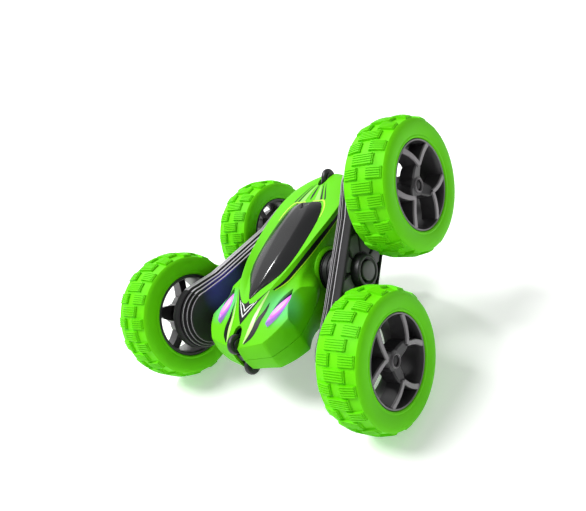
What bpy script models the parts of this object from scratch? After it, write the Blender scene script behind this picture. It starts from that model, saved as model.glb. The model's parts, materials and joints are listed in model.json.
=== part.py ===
"""Radio-controlled stunt car: a double-sided body between two swinging arms, with two geared wheels on each.

The body and the arms hang on one axis through the middle of the car. The car stands as it lands after a
flip: one arm is swung so that only its front wheel touches, and the whole car leans to that side.
Lengths are in millimetres until MM turns them into metres. +X is the car's left, -Y its nose.
"""

import math

import bmesh
import bpy
from mathutils import Matrix, Vector

MM = 0.001
GAP = 0.3

# Wheels and stance
TYRE_RADIUS = 37.5
TYRE_HALF_WIDTH = 13.2
CROWN_HALF_WIDTH = 5.0
TREAD_HALF_WIDTH = 11.5
TREAD_ROWS = 32
RIM_RADIUS = 24.0
RIM_INNER = 22.0
RIM_HALF_WIDTH = 11.9
RIM_SIDES = 24
WINDOW_RADIUS = 21.0
FACE_X = (8.2, 12.2)
# Where one fork of each wheel's spokes points, from the arm's rearward direction
RIM_TURN = {"front_left": 93.0, "rear_left": 30.0, "front_right": 40.0, "rear_right": 10.0}
WHEEL_X = 63.4
AXLE_Y = 45.64
ARM_SWING = {"left": math.radians(41.68), "right": 0.0}
BODY_PITCH = math.radians(11.0)
LEAN = math.atan(AXLE_Y * math.sin(ARM_SWING["left"]) / (2 * WHEEL_X))
# The tread is faceted, one flat for each row. The shoulder flats slope by the lean, so that the car
# stands on one of them under each grounded wheel.
FLAT = math.cos(math.pi / TREAD_ROWS)
TREAD_DROP = (TREAD_HALF_WIDTH - CROWN_HALF_WIDTH) * math.tan(LEAN) / FLAT
LOWEST = TYRE_RADIUS * FLAT * math.cos(LEAN) + CROWN_HALF_WIDTH * math.sin(LEAN)
AXIS_HEIGHT = WHEEL_X * math.sin(LEAN) + LOWEST

# Arm case, measured outward from the middle of the car
CASE_INNER = 33.5
CASE_SEAM = 40.0
CASE_OUTER = 46.0
CASE_WALL = 1.8
HUB_OUTER = 49.4
HUB_RADIUS = 9.0
CAP_RADIUS = 5.6
END_RADIUS = 19.0
WAIST = 16.0
CAVITY_RADIUS = 13.2
AXLE_RADIUS = 2.5
PIN_RADIUS = 1.5
BARREL_RADIUS = 11.0
JOURNAL_RADIUS = 7.5

# Gear train: five equal gears along the arm
GEAR_TEETH = 16
GEAR_PITCH_RADIUS = AXLE_Y / 4
GEAR_X = (36.4, 42.4)
PRESSURE_ANGLE = math.radians(20)

# Body, in its own frame
SHELL_WALL = 1.6
LENS_HALF_LENGTH = 12.0
LENS_HALF_WIDTH = 3.2
LENS_MIDDLE = (20.6, -40.2)
LENS_TURN = math.radians(10.5)
LENS_RISE = 0.12
ROLLER_RADIUS = 5.4
ROLLER_HALF_WIDTH = 1.65
ROLLER_PIN = 1.5
BRACKET_HALF_WIDTH = 2.75
ROLLER_SPOTS = {"nose": (-62.5, 8.5), "tail": (59.4, 22.0)}
# Each notch for the rollers, from its open end to its point: half width and y
NOTCHES = {
    "nose": [(3.05, -80.0), (3.05, -58.0), (1.6, -54.4), (0.0, -53.6)],
    "tail": [(3.05, 80.0), (3.05, 53.6), (1.8, 50.4), (0.0, 49.4)],
}

# Power switch and charge socket, between the lower canopy and the tail
CONTROLS_Y = 41.0
CONTROLS_ROOF = -21.2
SWITCH_X = -4.5
KNOB_X = SWITCH_X - 1.6
SOCKET_X = 5.6

# Screws that hold the shells together: x, y and the height of their posts
SCREW_SPOTS = {"nose": (0.0, -43.5, 15.8), "tail_left": (14.5, 45.5, 22.8), "tail_right": (-14.5, 45.5, 22.8)}

GREEN = ("lime_plastic", (0.10, 0.60, 0.01), 0.32, 0.0)
RUBBER = ("lime_rubber", (0.09, 0.55, 0.01), 0.6, 0.0)
BLACK = ("black_plastic", (0.012, 0.012, 0.014), 0.4, 0.0)
GLOSS = ("canopy_plastic", (0.02, 0.02, 0.022), 0.12, 0.0)
GREY = ("grey_plastic", (0.06, 0.06, 0.065), 0.45, 0.0)
STEEL = ("steel", (0.55, 0.55, 0.56), 0.3, 1.0)
NYLON = ("nylon", (0.75, 0.73, 0.66), 0.5, 0.0)
LENS = ("lens", (0.75, 0.25, 0.85), 0.1, 0.0)
BOARD = ("circuit_board", (0.01, 0.16, 0.06), 0.5, 0.0)
BATTERY = ("battery_wrap", (0.05, 0.12, 0.45), 0.4, 0.0)

for old in list(bpy.data.objects):
    bpy.data.objects.remove(old, do_unlink=True)

car = bpy.data.collections.new("rc_stunt_car")
cutters = bpy.data.collections.new("cutters")
bpy.context.scene.collection.children.link(car)
bpy.context.scene.collection.children.link(cutters)


def material(name, colour, roughness, metallic):
    found = bpy.data.materials.get(name)
    if found:
        return found
    made = bpy.data.materials.new(name)
    made.use_nodes = True
    shader = made.node_tree.nodes["Principled BSDF"]
    shader.inputs["Base Color"].default_value = (*colour, 1)
    shader.inputs["Roughness"].default_value = roughness
    shader.inputs["Metallic"].default_value = metallic
    return made


def frame(name, parent=None, place=(0, 0, 0), turn=(0, 0, 0)):
    """An empty on a joint's axis; its turn is given about its own X, Y and Z."""
    empty = bpy.data.objects.new(name, None)
    car.objects.link(empty)
    empty.parent = parent
    empty.location = Vector(place) * MM
    empty.rotation_euler = turn
    return empty


def piece(name, shape, finish=None, parent=None, place=(0, 0, 0), turn=(0, 0, 0)):
    """An object from a bmesh in millimetres. Without a finish it is a cutter or a tool."""
    bmesh.ops.scale(shape, vec=(MM, MM, MM), verts=shape.verts)
    bmesh.ops.recalc_face_normals(shape, faces=shape.faces)
    mesh = bpy.data.meshes.new(name)
    shape.to_mesh(mesh)
    shape.free()
    made = bpy.data.objects.new(name, mesh)
    (car if finish else cutters).objects.link(made)
    made.parent = parent
    made.location = Vector(place) * MM
    made.rotation_euler = turn
    if finish:
        mesh.materials.append(material(*finish))
        mesh.shade_smooth()
        mesh.set_sharp_from_angle(angle=math.radians(35))
    else:
        made.hide_render = True
        made.display_type = "WIRE"
    return made


def combine(target, operation, *others):
    for other in others:
        boolean = target.modifiers.new(f"{operation.lower()}_{other.name}", "BOOLEAN")
        boolean.operation = operation
        boolean.object = other


def rod(radius, start, end, sides=16, centre=(0, 0), axis="X"):
    """A cylinder along an axis, from start to end, round a centre in the other two coordinates."""
    shape = bmesh.new()
    bmesh.ops.create_cone(
        shape, cap_ends=True, segments=sides, radius1=radius, radius2=radius, depth=end - start
    )
    middle = (start + end) / 2
    if axis == "X":
        place = Matrix.Translation((middle, *centre)) @ Matrix.Rotation(math.pi / 2, 4, "Y")
    elif axis == "Y":
        place = Matrix.Translation((centre[0], middle, centre[1])) @ Matrix.Rotation(math.pi / 2, 4, "X")
    else:
        place = Matrix.Translation((*centre, middle))
    bmesh.ops.transform(shape, matrix=place, verts=shape.verts)
    return shape


def box(low, high):
    shape = bmesh.new()
    bmesh.ops.create_cube(shape, size=1)
    size = [b - a for a, b in zip(low, high)]
    middle = [(a + b) / 2 for a, b in zip(low, high)]
    bmesh.ops.scale(shape, vec=size, verts=shape.verts)
    bmesh.ops.translate(shape, vec=middle, verts=shape.verts)
    return shape


def turned(profile, sides):
    """A ring turned about X from a closed profile of (x, radius)."""
    shape = bmesh.new()
    corners = [shape.verts.new((x, 0, radius)) for x, radius in profile]
    edges = [shape.edges.new((a, b)) for a, b in zip(corners, corners[1:] + corners[:1])]
    bmesh.ops.spin(
        shape,
        geom=corners + edges,
        cent=(0, 0, 0),
        axis=(1, 0, 0),
        angle=math.tau,
        steps=sides,
        use_merge=True,
    )
    bmesh.ops.remove_doubles(shape, verts=shape.verts, dist=1e-4)
    return shape


def loft(rings):
    """A closed solid through rings of equal length, with a flat cap at each end."""
    shape = bmesh.new()
    loops = [[shape.verts.new(point) for point in ring] for ring in rings]
    for one, two in zip(loops, loops[1:]):
        for i in range(len(one)):
            j = (i + 1) % len(one)
            shape.faces.new((one[i], one[j], two[j], two[i]))
    shape.faces.new(loops[0])
    shape.faces.new(loops[-1])
    return shape


def prism(outline, low, high, axis="Z"):
    """A flat outline drawn out along Z, or along X with the outline in Y and Z."""
    if axis == "Z":
        return loft([[(a, b, level) for a, b in outline] for level in (low, high)])
    return loft([[(level, a, b) for a, b in outline] for level in (low, high)])


# ---- Frames ------------------------------------------------------------------------------------

ground = frame("ground", place=(0, 0, AXIS_HEIGHT))
axis_frame = frame("axis_frame", ground, turn=(0, -LEAN, 0))
body = frame("body_frame", axis_frame, turn=(BODY_PITCH, 0, 0))

# ---- Body shells -------------------------------------------------------------------------------

# Half sections of the upper side, nose to tail, each from the seam over the side's top crease, the
# valley and the crest of the rail to the middle.
STATIONS = [
    [(20.5, -62.0, 0.0), (20.6, -61.8, 5.0), (19.8, -61.0, 9.8), (9.0, -63.6, 8.9),
     (6.2, -64.2, 8.9), (4.6, -64.8, 8.5), (3.2, -65.3, 8.2), (0.0, -65.6, 8.0)],
    [(26.4, -54.6, 0.0), (26.7, -54.4, 6.0), (25.8, -53.8, 11.3), (13.4, -55.5, 11.6),
     (6.6, -56.0, 11.9), (4.4, -56.5, 12.0), (2.5, -57.0, 12.0), (0.0, -57.0, 12.0)],
    [(30.3, -46.6, 0.0), (30.1, -46.3, 6.4), (29.3, -45.8, 12.2), (14.4, -46.5, 12.9),
     (6.5, -48.0, 14.9), (4.4, -48.5, 15.2), (2.6, -48.5, 15.3), (0.0, -48.5, 15.3)],
    [(30.0, -38.0, 0.0), (28.2, -38.0, 7.2), (24.4, -38.0, 13.8), (15.6, -38.0, 14.2),
     (10.0, -38.5, 18.1), (7.5, -39.0, 18.3), (5.0, -39.0, 18.1), (0.0, -39.0, 18.1)],
    [(29.2, -30.0, 0.0), (27.6, -30.5, 7.6), (23.4, -31.5, 14.5), (17.2, -31.0, 15.4),
     (12.9, -31.0, 19.8), (10.0, -31.0, 19.3), (7.4, -31.0, 18.4), (0.0, -31.0, 18.6)],
    [(28.0, -23.0, 0.0), (31.0, -19.0, 9.0), (26.2, -26.5, 14.4), (18.8, -25.0, 16.4),
     (15.7, -24.0, 20.6), (13.4, -23.5, 19.8), (11.8, -23.0, 18.6), (0.0, -23.0, 19.0)],
    [(24.0, -13.0, 0.0), (26.4, -13.0, 6.2), (22.8, -20.0, 15.2), (20.6, -17.0, 17.0),
     (18.9, -14.5, 21.5), (16.6, -14.0, 20.3), (14.4, -13.5, 19.4), (0.0, -13.0, 19.8)],
    [(21.5, -5.0, 0.0), (22.2, -6.0, 6.5), (22.6, -8.0, 13.5), (22.4, -5.0, 17.2),
     (21.3, -4.0, 22.0), (18.4, -4.0, 20.9), (15.9, -4.0, 20.1), (0.0, -4.0, 20.6)],
    [(22.0, 8.0, 0.0), (22.8, 8.0, 6.8), (23.4, 8.0, 13.4), (23.5, 8.0, 17.1),
     (23.1, 8.0, 22.3), (19.6, 8.0, 21.7), (16.2, 8.0, 21.1), (0.0, 8.0, 21.4)],
    [(22.4, 21.0, 0.0), (23.8, 21.0, 6.8), (24.6, 21.0, 13.4), (24.5, 21.0, 17.1),
     (24.9, 21.0, 22.3), (20.4, 21.0, 22.0), (15.4, 21.0, 21.7), (0.0, 21.0, 22.0)],
    [(22.5, 33.0, 0.0), (24.4, 33.0, 7.0), (25.2, 33.0, 13.5), (24.9, 33.0, 17.3),
     (25.5, 33.0, 22.3), (20.0, 33.0, 22.6), (11.4, 33.0, 22.9), (0.0, 33.0, 22.8)],
    [(21.6, 43.0, 0.0), (23.6, 43.0, 6.8), (24.4, 43.0, 13.2), (24.0, 43.0, 17.6),
     (23.8, 43.0, 22.6), (18.6, 43.0, 23.6), (9.0, 43.0, 23.9), (0.0, 43.0, 23.6)],
    [(18.6, 51.5, 0.0), (20.4, 51.5, 6.6), (20.8, 51.5, 12.8), (20.2, 51.5, 17.4),
     (19.6, 51.5, 22.6), (15.4, 51.5, 23.9), (8.0, 51.5, 24.2), (0.0, 51.5, 23.9)],
    [(14.2, 58.0, 0.0), (15.4, 58.0, 6.2), (15.6, 57.8, 12.2), (15.0, 57.6, 16.8),
     (14.4, 57.4, 21.8), (11.6, 57.6, 23.2), (6.4, 57.8, 23.6), (0.0, 58.0, 23.4)],
    [(9.4, 63.6, 0.0), (10.0, 63.2, 5.6), (10.3, 62.8, 11.4), (10.2, 62.5, 15.8),
     (10.0, 62.2, 19.8), (8.2, 62.3, 21.2), (4.8, 62.6, 21.9), (0.0, 62.8, 22.0)],
]
# How much of the wall's thickness each point of a section is drawn in across the body
DRAWN_IN = (1.0, 1.0, 1.0, 1.0, 0.8, 0.3, 0.0, 0.0)
NOSE_BULGE = 1.0


def section(station, inset, end, seam):
    """The points of one section, seam to seam over the top, drawn in by the wall thickness."""
    side = []
    for (x, y, z), share in zip(station, DRAWN_IN):
        height = z - inset * min(z / 10.0, 1.0) if z else seam
        side.append((x - inset * share, y + end * inset, height))
    return side + [(-x, y, z) for x, y, z in reversed(side[:-1])]


def shell_surface(inset, seam):
    """The outside of the upper shell, or its inside when drawn in, closed across the seam."""
    last = len(STATIONS) - 1
    rings = [section(station, inset, {0: 1, last: -1}.get(k, 0), seam) for k, station in enumerate(STATIONS)]
    # The nose panel bulges from the hood's front edge down to the seam
    hem = [(x, y - NOSE_BULGE, seam) for x, y, _ in rings[0][3:-3]]
    rings.insert(0, [rings[0][0]] * 3 + hem + [rings[0][-1]] * 3)
    shape = loft(rings)
    bmesh.ops.remove_doubles(shape, verts=shape.verts, dist=1e-4)
    bmesh.ops.triangulate(shape, faces=[face for face in shape.faces if len(face.verts) > 4])
    return shape


def flipped(shape, upper):
    """The lower side is the upper one turned half round about the car's length."""
    if not upper:
        bmesh.ops.scale(shape, vec=(-1, 1, -1), verts=shape.verts)
    return shape


# y, half width at the rim, the rim's height, half width of the roof and its height
CANOPY = [
    (-38.6, 0.4, 18.0, 0.2, 18.3), (-36.0, 2.4, 18.0, 1.5, 18.8), (-32.0, 4.9, 18.1, 2.6, 19.6),
    (-27.0, 8.2, 18.3, 3.5, 20.4), (-21.0, 12.2, 18.7, 4.0, 21.3), (-14.0, 14.4, 19.3, 4.7, 22.2),
    (-6.0, 15.5, 19.9, 5.4, 23.0), (3.0, 16.1, 20.6, 6.0, 23.7), (12.0, 16.1, 21.2, 6.3, 24.5),
    (20.0, 15.5, 21.7, 5.8, 25.0), (26.0, 14.2, 22.2, 4.9, 25.2), (30.5, 12.4, 22.6, 4.1, 25.0),
    (34.0, 9.4, 22.9, 3.0, 24.1),
]


def canopy_solid():
    """A faceted hood: a narrow roof between two sloping sides."""
    rings = []
    for y, half, rim, roof, top in CANOPY:
        edge = [(half, rim - 2.2), (half, rim + 0.3), (roof, top)]
        rings.append([(x, y, z) for x, z in edge + [(-x, z) for x, z in reversed(edge)]])
    return loft(rings)


def canopy_cutter():
    outline = [(row[1] + GAP, row[0]) for row in CANOPY]
    outline[0] = (outline[0][0], outline[0][1] - GAP)
    outline[-1] = (outline[-1][0], outline[-1][1] + GAP)
    mirror = [(-x, y) for x, y in reversed(outline)]
    return prism(outline + mirror, 12.0, 34.0)


def lens_solid(side, grow, low, high):
    """A spindle-shaped lens, pointed at both ends, that rises with the hood."""
    outline = []
    for k in range(12):
        angle = math.tau * k / 12
        across = (LENS_HALF_WIDTH + grow) * math.sin(angle)
        along = (LENS_HALF_LENGTH + 2 * grow) * (1 - 4 * abs(angle / math.tau - 0.5) if k else -1)
        x = LENS_MIDDLE[0] + across * math.cos(LENS_TURN) + along * math.sin(LENS_TURN)
        y = LENS_MIDDLE[1] - across * math.sin(LENS_TURN) + along * math.cos(LENS_TURN)
        outline.append((side * x, y, LENS_RISE * (y - LENS_MIDDLE[1])))
    return loft([[(x, y, level + rise) for x, y, rise in outline] for level in (low, high)])


def notch_cutter(end):
    half = NOTCHES[end]
    return prism(half + [(-x, y) for x, y in reversed(half[:-1])], -40, 40)


def build_shell(name, upper):
    shell = piece(name, flipped(shell_surface(0.0, GAP / 2), upper), GREEN, body)
    hollow = piece(f"{name}_hollow", flipped(shell_surface(SHELL_WALL, -2.0), upper), parent=body)
    arch = piece(f"{name}_arch", flipped(rod(14.0, -24.6, 24.6, 24), upper), parent=body)
    arch_trim = piece(f"{name}_arch_trim", flipped(box((-40, -20, -20), (40, 20, 0.25)), upper), parent=body)
    arch_core = flipped(box((-19.0, -20, -20), (19.0, 20, 40)), upper)
    arch_core = piece(f"{name}_arch_core", arch_core, parent=body)
    bore = piece(f"{name}_bore", flipped(rod(BARREL_RADIUS + GAP, -40, 40, 26), upper), parent=body)
    window = piece(f"{name}_window", flipped(canopy_cutter(), upper), parent=body)
    combine(arch, "DIFFERENCE", arch_trim, arch_core)
    combine(shell, "UNION", arch)
    combine(shell, "DIFFERENCE", hollow, bore, window)
    for side in (1, -1):
        slot = piece(f"{name}_lens_slot_{side}", flipped(lens_solid(side, GAP, 7, 20), upper), parent=body)
        combine(shell, "DIFFERENCE", slot)
    for end in NOTCHES:
        combine(shell, "DIFFERENCE", piece(f"{name}_{end}_notch", notch_cutter(end), parent=body))
    return shell


upper_shell = build_shell("upper_shell", True)
lower_shell = build_shell("lower_shell", False)

for label, upper in (("upper", True), ("lower", False)):
    piece(f"canopy_{label}", flipped(canopy_solid(), upper), GLOSS, body)
    for side, hand in ((1, "left"), (-1, "right")):
        lens = lens_solid(side if upper else -side, 0.0, 9.4, 13.9)
        piece(f"headlight_{label}_{hand}", flipped(lens, upper), LENS, body)

# ---- Bumpers and their rollers -------------------------------------------------------------------


def cheek_outline(out, roller_y, roller_z, back):
    """The side plate of a bumper: a round ear about each roller's pin."""
    outline = []
    for level in (1, -1):
        for k in range(6):
            angle = math.radians(level * 22 - 35.2 * k + (88 if level == 1 else 44))
            outline.append((roller_y + out * 3.0 * math.cos(angle), level * roller_z + 3.0 * math.sin(angle)))
    return outline + [(back, 3.0 - roller_z), (back, roller_z - 3.0)]


for end, (roller_y, roller_z) in ROLLER_SPOTS.items():
    out = -1 if end == "nose" else 1
    back = roller_y - out * 11.0
    low, high = sorted((back, roller_y + out * 2.4))
    bar = box((-BRACKET_HALF_WIDTH, low, -2.2), (BRACKET_HALF_WIDTH, high, 2.2))
    bumper = piece(f"{end}_bumper", bar, BLACK, body)
    for side in (1, -1):
        reach = sorted((side * (ROLLER_HALF_WIDTH + GAP), side * BRACKET_HALF_WIDTH))
        cheek = prism(cheek_outline(out, roller_y, roller_z, back), *reach, axis="X")
        combine(bumper, "UNION", piece(f"{end}_cheek_{side}", cheek, parent=body))
    for level, label in ((1, "upper"), (-1, "lower")):
        reach = BRACKET_HALF_WIDTH - 0.1
        pin = rod(ROLLER_PIN, -reach, reach, 12, (roller_y, level * roller_z))
        combine(bumper, "UNION", piece(f"{end}_pin_{label}", pin, parent=body))
        spot = frame(f"{end}_roller_{label}_frame", body, (0, roller_y, level * roller_z))
        side = ROLLER_HALF_WIDTH
        half = [(side, ROLLER_PIN + GAP), (side, 4.2), (side - 0.6, 5.0)]
        profile = half + [(0.0, ROLLER_RADIUS)] + [(-x, radius) for x, radius in reversed(half)]
        piece(f"{end}_roller_{label}", turned(profile, 20), BLACK, spot)

# ---- Inside the body -----------------------------------------------------------------------------

piece("battery", box((-9.0, -34.0, -8.0), (9.0, -12.6, 8.0)), BATTERY, body)
piece("circuit_board", box((-14.0, 14.5, -0.8), (14.0, 40.0, 0.8)), BOARD, body)

for hand, side in (("left", 1), ("right", -1)):
    outward = frame(f"body_{hand}_frame", body, turn=(0, 0, 0 if side == 1 else math.pi))
    barrel = [(17.5, JOURNAL_RADIUS + GAP), (33.0, JOURNAL_RADIUS + GAP), (33.0, BARREL_RADIUS),
              (17.5, BARREL_RADIUS)]
    piece(f"pivot_barrel_{hand}", turned(barrel, 20), BLACK, outward)
    motor = piece(f"gear_motor_{hand}", box((0.4, -10.0, -10.0), (16.8, 10.0, 10.0)), GREY, outward)
    socket = piece(f"motor_socket_{hand}", rod(AXLE_RADIUS + GAP, 8.0, 20.0, 12), parent=outward)
    combine(motor, "DIFFERENCE", socket)
    piece(f"light_board_{hand}", box((15.5 * side, -50.0, -0.7), (24.0 * side, -30.0, 0.7)), BOARD, body)

# ---- Screws that hold the shells together ----------------------------------------------------------

for label, (x, y, roof) in SCREW_SPOTS.items():
    spot = (x, y)
    lower_post = piece(f"lower_post_{label}", rod(4.2, -roof, -GAP / 2, 14, spot, "Z"), parent=body)
    upper_post = piece(f"upper_post_{label}", rod(3.0, GAP / 2, roof, 10, spot, "Z"), parent=body)
    counterbore = piece(f"counterbore_{label}", rod(2.8, -32.0, -10.0, 14, spot, "Z"), parent=body)
    pilot = piece(f"pilot_{label}", rod(1.4, -12.0, 9.0, 10, spot, "Z"), parent=body)
    combine(lower_shell, "UNION", lower_post)
    combine(lower_shell, "DIFFERENCE", counterbore, pilot)
    combine(upper_shell, "UNION", upper_post)
    combine(upper_shell, "DIFFERENCE", pilot)
    screw = piece(f"body_screw_{label}", rod(2.4, -12.2, -10.4, 12, spot, "Z"), STEEL, body)
    stem = piece(f"body_screw_stem_{label}", rod(1.1, -11.0, 8.0, 8, spot, "Z"), parent=body)
    combine(screw, "UNION", stem)

# ---- Power switch and charge socket ----------------------------------------------------------------

switch_case = box((SWITCH_X - 5, CONTROLS_Y - 2.8, CONTROLS_ROOF), (SWITCH_X + 5, CONTROLS_Y + 2.8, -15.0))
switch_body = piece("switch_body", switch_case, BLACK, body)
switch_well = box((SWITCH_X - 3.6, CONTROLS_Y - 1.6, -30), (SWITCH_X + 3.6, CONTROLS_Y + 1.6, -18.0))
combine(switch_body, "DIFFERENCE", piece("switch_well", switch_well, parent=body))
knob = box((KNOB_X - 1.5, CONTROLS_Y - 1.1, -25.6), (KNOB_X + 1.5, CONTROLS_Y + 1.1, -18.4))
piece("switch_knob", knob, BLACK, body)
switch_slot = box((SWITCH_X - 3.4, CONTROLS_Y - 1.4, -30), (SWITCH_X + 3.4, CONTROLS_Y + 1.4, -20))
combine(lower_shell, "DIFFERENCE", piece("switch_slot", switch_slot, parent=body))

socket_case = box(
    (SOCKET_X - 2.4, CONTROLS_Y - 2.6, CONTROLS_ROOF), (SOCKET_X + 2.4, CONTROLS_Y + 2.6, -13.5)
)
charge_socket = piece("charge_socket", socket_case, BLACK, body)
nozzle = piece("charge_nozzle", rod(2.1, -24.4, -20.0, 12, (SOCKET_X, CONTROLS_Y), "Z"), parent=body)
jack_hole = piece("charge_hole", rod(1.4, -30.0, -16.5, 10, (SOCKET_X, CONTROLS_Y), "Z"), parent=body)
combine(charge_socket, "UNION", nozzle)
combine(charge_socket, "DIFFERENCE", jack_hole)
socket_port = piece("charge_port", rod(2.5, -30.0, -19.0, 14, (SOCKET_X, CONTROLS_Y), "Z"), parent=body)
combine(lower_shell, "DIFFERENCE", socket_port)

# ---- Arms ----------------------------------------------------------------------------------------


def dog_bone(end_radius, waist, arc_sides=8):
    """The arm's outline: a round end about each axle, joined by a narrower waist."""
    outline = []
    for end in (1, -1):
        for i in range(arc_sides + 1):
            angle = math.radians(-105 + 210 * i / arc_sides)
            y = AXLE_Y + end_radius * math.cos(angle)
            outline.append((end * y, end * end_radius * math.sin(angle)))
        outline.append((end * AXLE_Y * 0.55, end * waist))
        outline.append((-end * AXLE_Y * 0.55, end * waist))
    return outline


def cased(levels):
    """A lofted case through (x, end radius, waist) levels."""
    return loft([[(x, y, z) for y, z in dog_bone(radius, waist)] for x, radius, waist in levels])


def gear(width):
    """A spur gear about X with straight flanks and room for backlash."""
    module = 2 * GEAR_PITCH_RADIUS / GEAR_TEETH
    tip, root = GEAR_PITCH_RADIUS + 0.8 * module, GEAR_PITCH_RADIUS - 1.05 * module
    half_tooth = 0.20 * math.pi * module
    outline = []
    for tooth in range(GEAR_TEETH):
        middle = math.tau * tooth / GEAR_TEETH
        for radius, hand in ((root, -1), (tip, -1), (tip, 1), (root, 1)):
            half = half_tooth - (radius - GEAR_PITCH_RADIUS) * math.tan(PRESSURE_ANGLE)
            angle = middle + hand * half / radius
            outline.append((radius * math.cos(angle), radius * math.sin(angle)))
    return prism(outline, *width, axis="X")


def build_arm(hand, side):
    arm = frame(f"arm_{hand}_frame", axis_frame, turn=(ARM_SWING[hand], 0, 0))
    out = frame(f"arm_{hand}_outward", arm, turn=(0, 0, 0 if side == 1 else math.pi))

    seam = CASE_SEAM + GAP / 2
    outer = piece(
        f"arm_outer_case_{hand}",
        cased([
            (CASE_OUTER - 1.4, END_RADIUS - 2.4, WAIST - 2.4),
            (CASE_OUTER, END_RADIUS - 2.0, WAIST - 2.0),
            (CASE_OUTER, END_RADIUS - 0.8, WAIST - 0.8),
            (CASE_OUTER - 0.8, END_RADIUS, WAIST),
            (seam, END_RADIUS, WAIST),
            (seam, CAVITY_RADIUS + 1.6, CAVITY_RADIUS + 0.8),
            (CASE_OUTER - 3.0, CAVITY_RADIUS + 1.0, CAVITY_RADIUS + 0.4),
        ]),
        GREY, out,
    )
    seam = CASE_SEAM - GAP / 2
    inner = piece(
        f"arm_inner_case_{hand}",
        cased([
            (CASE_INNER, 14.4, 12.6),
            (CASE_INNER + 0.9, 15.2, 13.4),
            (CASE_INNER + 2.0, 15.2, 13.4),
            (CASE_INNER + 2.0, 16.5, 14.4),
            (CASE_INNER + 4.2, 16.5, 14.4),
            (CASE_INNER + 4.2, 17.8, 15.2),
            (seam, 17.8, 15.2),
            (seam, CAVITY_RADIUS + 1.6, CAVITY_RADIUS + 0.8),
            (CASE_INNER + CASE_WALL, CAVITY_RADIUS, CAVITY_RADIUS - 0.6),
        ]),
        GREY, out,
    )
    hub = piece(f"arm_hub_{hand}", rod(HUB_RADIUS, CASE_OUTER - 2.0, HUB_OUTER, 20), parent=out)
    well = rod(CAP_RADIUS + 0.4, CASE_OUTER - 0.6, HUB_OUTER + 1, 16)
    well = piece(f"arm_hub_well_{hand}", well, parent=out)
    combine(outer, "UNION", hub)
    journal = piece(f"arm_journal_{hand}", rod(JOURNAL_RADIUS, 18.0, CASE_INNER + 1, 16), parent=out)
    combine(inner, "UNION", journal)
    for end in (1, -1):
        boss = rod(8.0, CASE_OUTER - 2.0, HUB_OUTER, 16, (end * AXLE_Y, 0))
        combine(outer, "UNION", piece(f"arm_boss_{hand}_{end}", boss, parent=out))
        pin_boss = rod(3.2, CASE_OUTER - 3.6, CASE_OUTER - 2.4, 12, (end * AXLE_Y / 2, 0))
        combine(outer, "UNION", piece(f"pin_boss_{hand}_{end}", pin_boss, parent=out))
    combine(outer, "DIFFERENCE", well)
    for end in (1, -1):
        bore = rod(AXLE_RADIUS + GAP, 30, 55, 12, (end * AXLE_Y, 0))
        hole = rod(PIN_RADIUS + GAP, 30, CASE_OUTER - 2.2, 12, (end * AXLE_Y / 2, 0))
        bore = piece(f"arm_bore_{hand}_{end}", bore, parent=out)
        hole = piece(f"pin_hole_{hand}_{end}", hole, parent=out)
        combine(outer, "DIFFERENCE", bore, hole)
        combine(inner, "DIFFERENCE", bore, hole)
    drive_bore = piece(f"drive_bore_{hand}", rod(AXLE_RADIUS + GAP, 10, 40, 12), parent=out)
    combine(inner, "DIFFERENCE", drive_bore)
    cap = rod(CAP_RADIUS, CASE_OUTER - 0.3, HUB_OUTER + 0.4, 16)
    piece(f"arm_hub_cap_{hand}", cap, BLACK, out)

    drive = piece(f"drive_gear_{hand}", gear(GEAR_X), NYLON, out)
    shaft = piece(f"drive_shaft_{hand}", rod(AXLE_RADIUS, 10.5, 42.8, 12), parent=out)
    combine(drive, "UNION", shaft)
    half_pitch = math.pi / GEAR_TEETH
    for end, label in ((-side, "front"), (side, "rear")):
        spot = (0, end * AXLE_Y / 2, 0)
        idler = piece(f"idler_gear_{label}_{hand}", gear(GEAR_X), NYLON, out, spot, (half_pitch, 0, 0))
        hole = piece(f"idler_hole_{label}_{hand}", rod(PIN_RADIUS + GAP, 30, 50, 12), parent=idler)
        combine(idler, "DIFFERENCE", hole)
        piece(f"idler_pin_{label}_{hand}", rod(PIN_RADIUS, 33.9, CASE_OUTER - 2.5, 12), STEEL, out, spot)
        build_wheel(f"{label}_{hand}", out, end, ARM_SWING[hand] * side)


def build_tyre(name, parent, turn):
    """A hollow tyre, open towards the rim, with one flat for each row of tread."""
    half = [
        (RIM_HALF_WIDTH - 0.2, RIM_RADIUS + GAP),
        (TYRE_HALF_WIDTH, 29.5),
        (TYRE_HALF_WIDTH - 0.6, 33.8),
        (TREAD_HALF_WIDTH, TYRE_RADIUS - TREAD_DROP),
        (CROWN_HALF_WIDTH, TYRE_RADIUS),
    ]
    outside = half + [(-x, radius) for x, radius in reversed(half)]
    inside = [(-9.8, RIM_RADIUS + GAP), (-10.4, 33.0), (10.4, 33.0), (9.8, RIM_RADIUS + GAP)]
    shape = turned(outside + inside, TREAD_ROWS)
    half_row = Matrix.Rotation(math.pi / TREAD_ROWS, 3, "X")
    bmesh.ops.rotate(shape, verts=shape.verts, matrix=half_row)
    return piece(name, shape, RUBBER, parent, turn=(turn, 0, 0))


def window_outline(middle, apex, spread):
    """A window of the wheel's face: a point near the hub and an arc along the rim."""
    points = [(apex * math.cos(middle), apex * math.sin(middle))]
    for i in range(5):
        angle = middle + math.radians(spread * (i / 2 - 1))
        points.append((WINDOW_RADIUS * math.cos(angle), WINDOW_RADIUS * math.sin(angle)))
    return points


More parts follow.
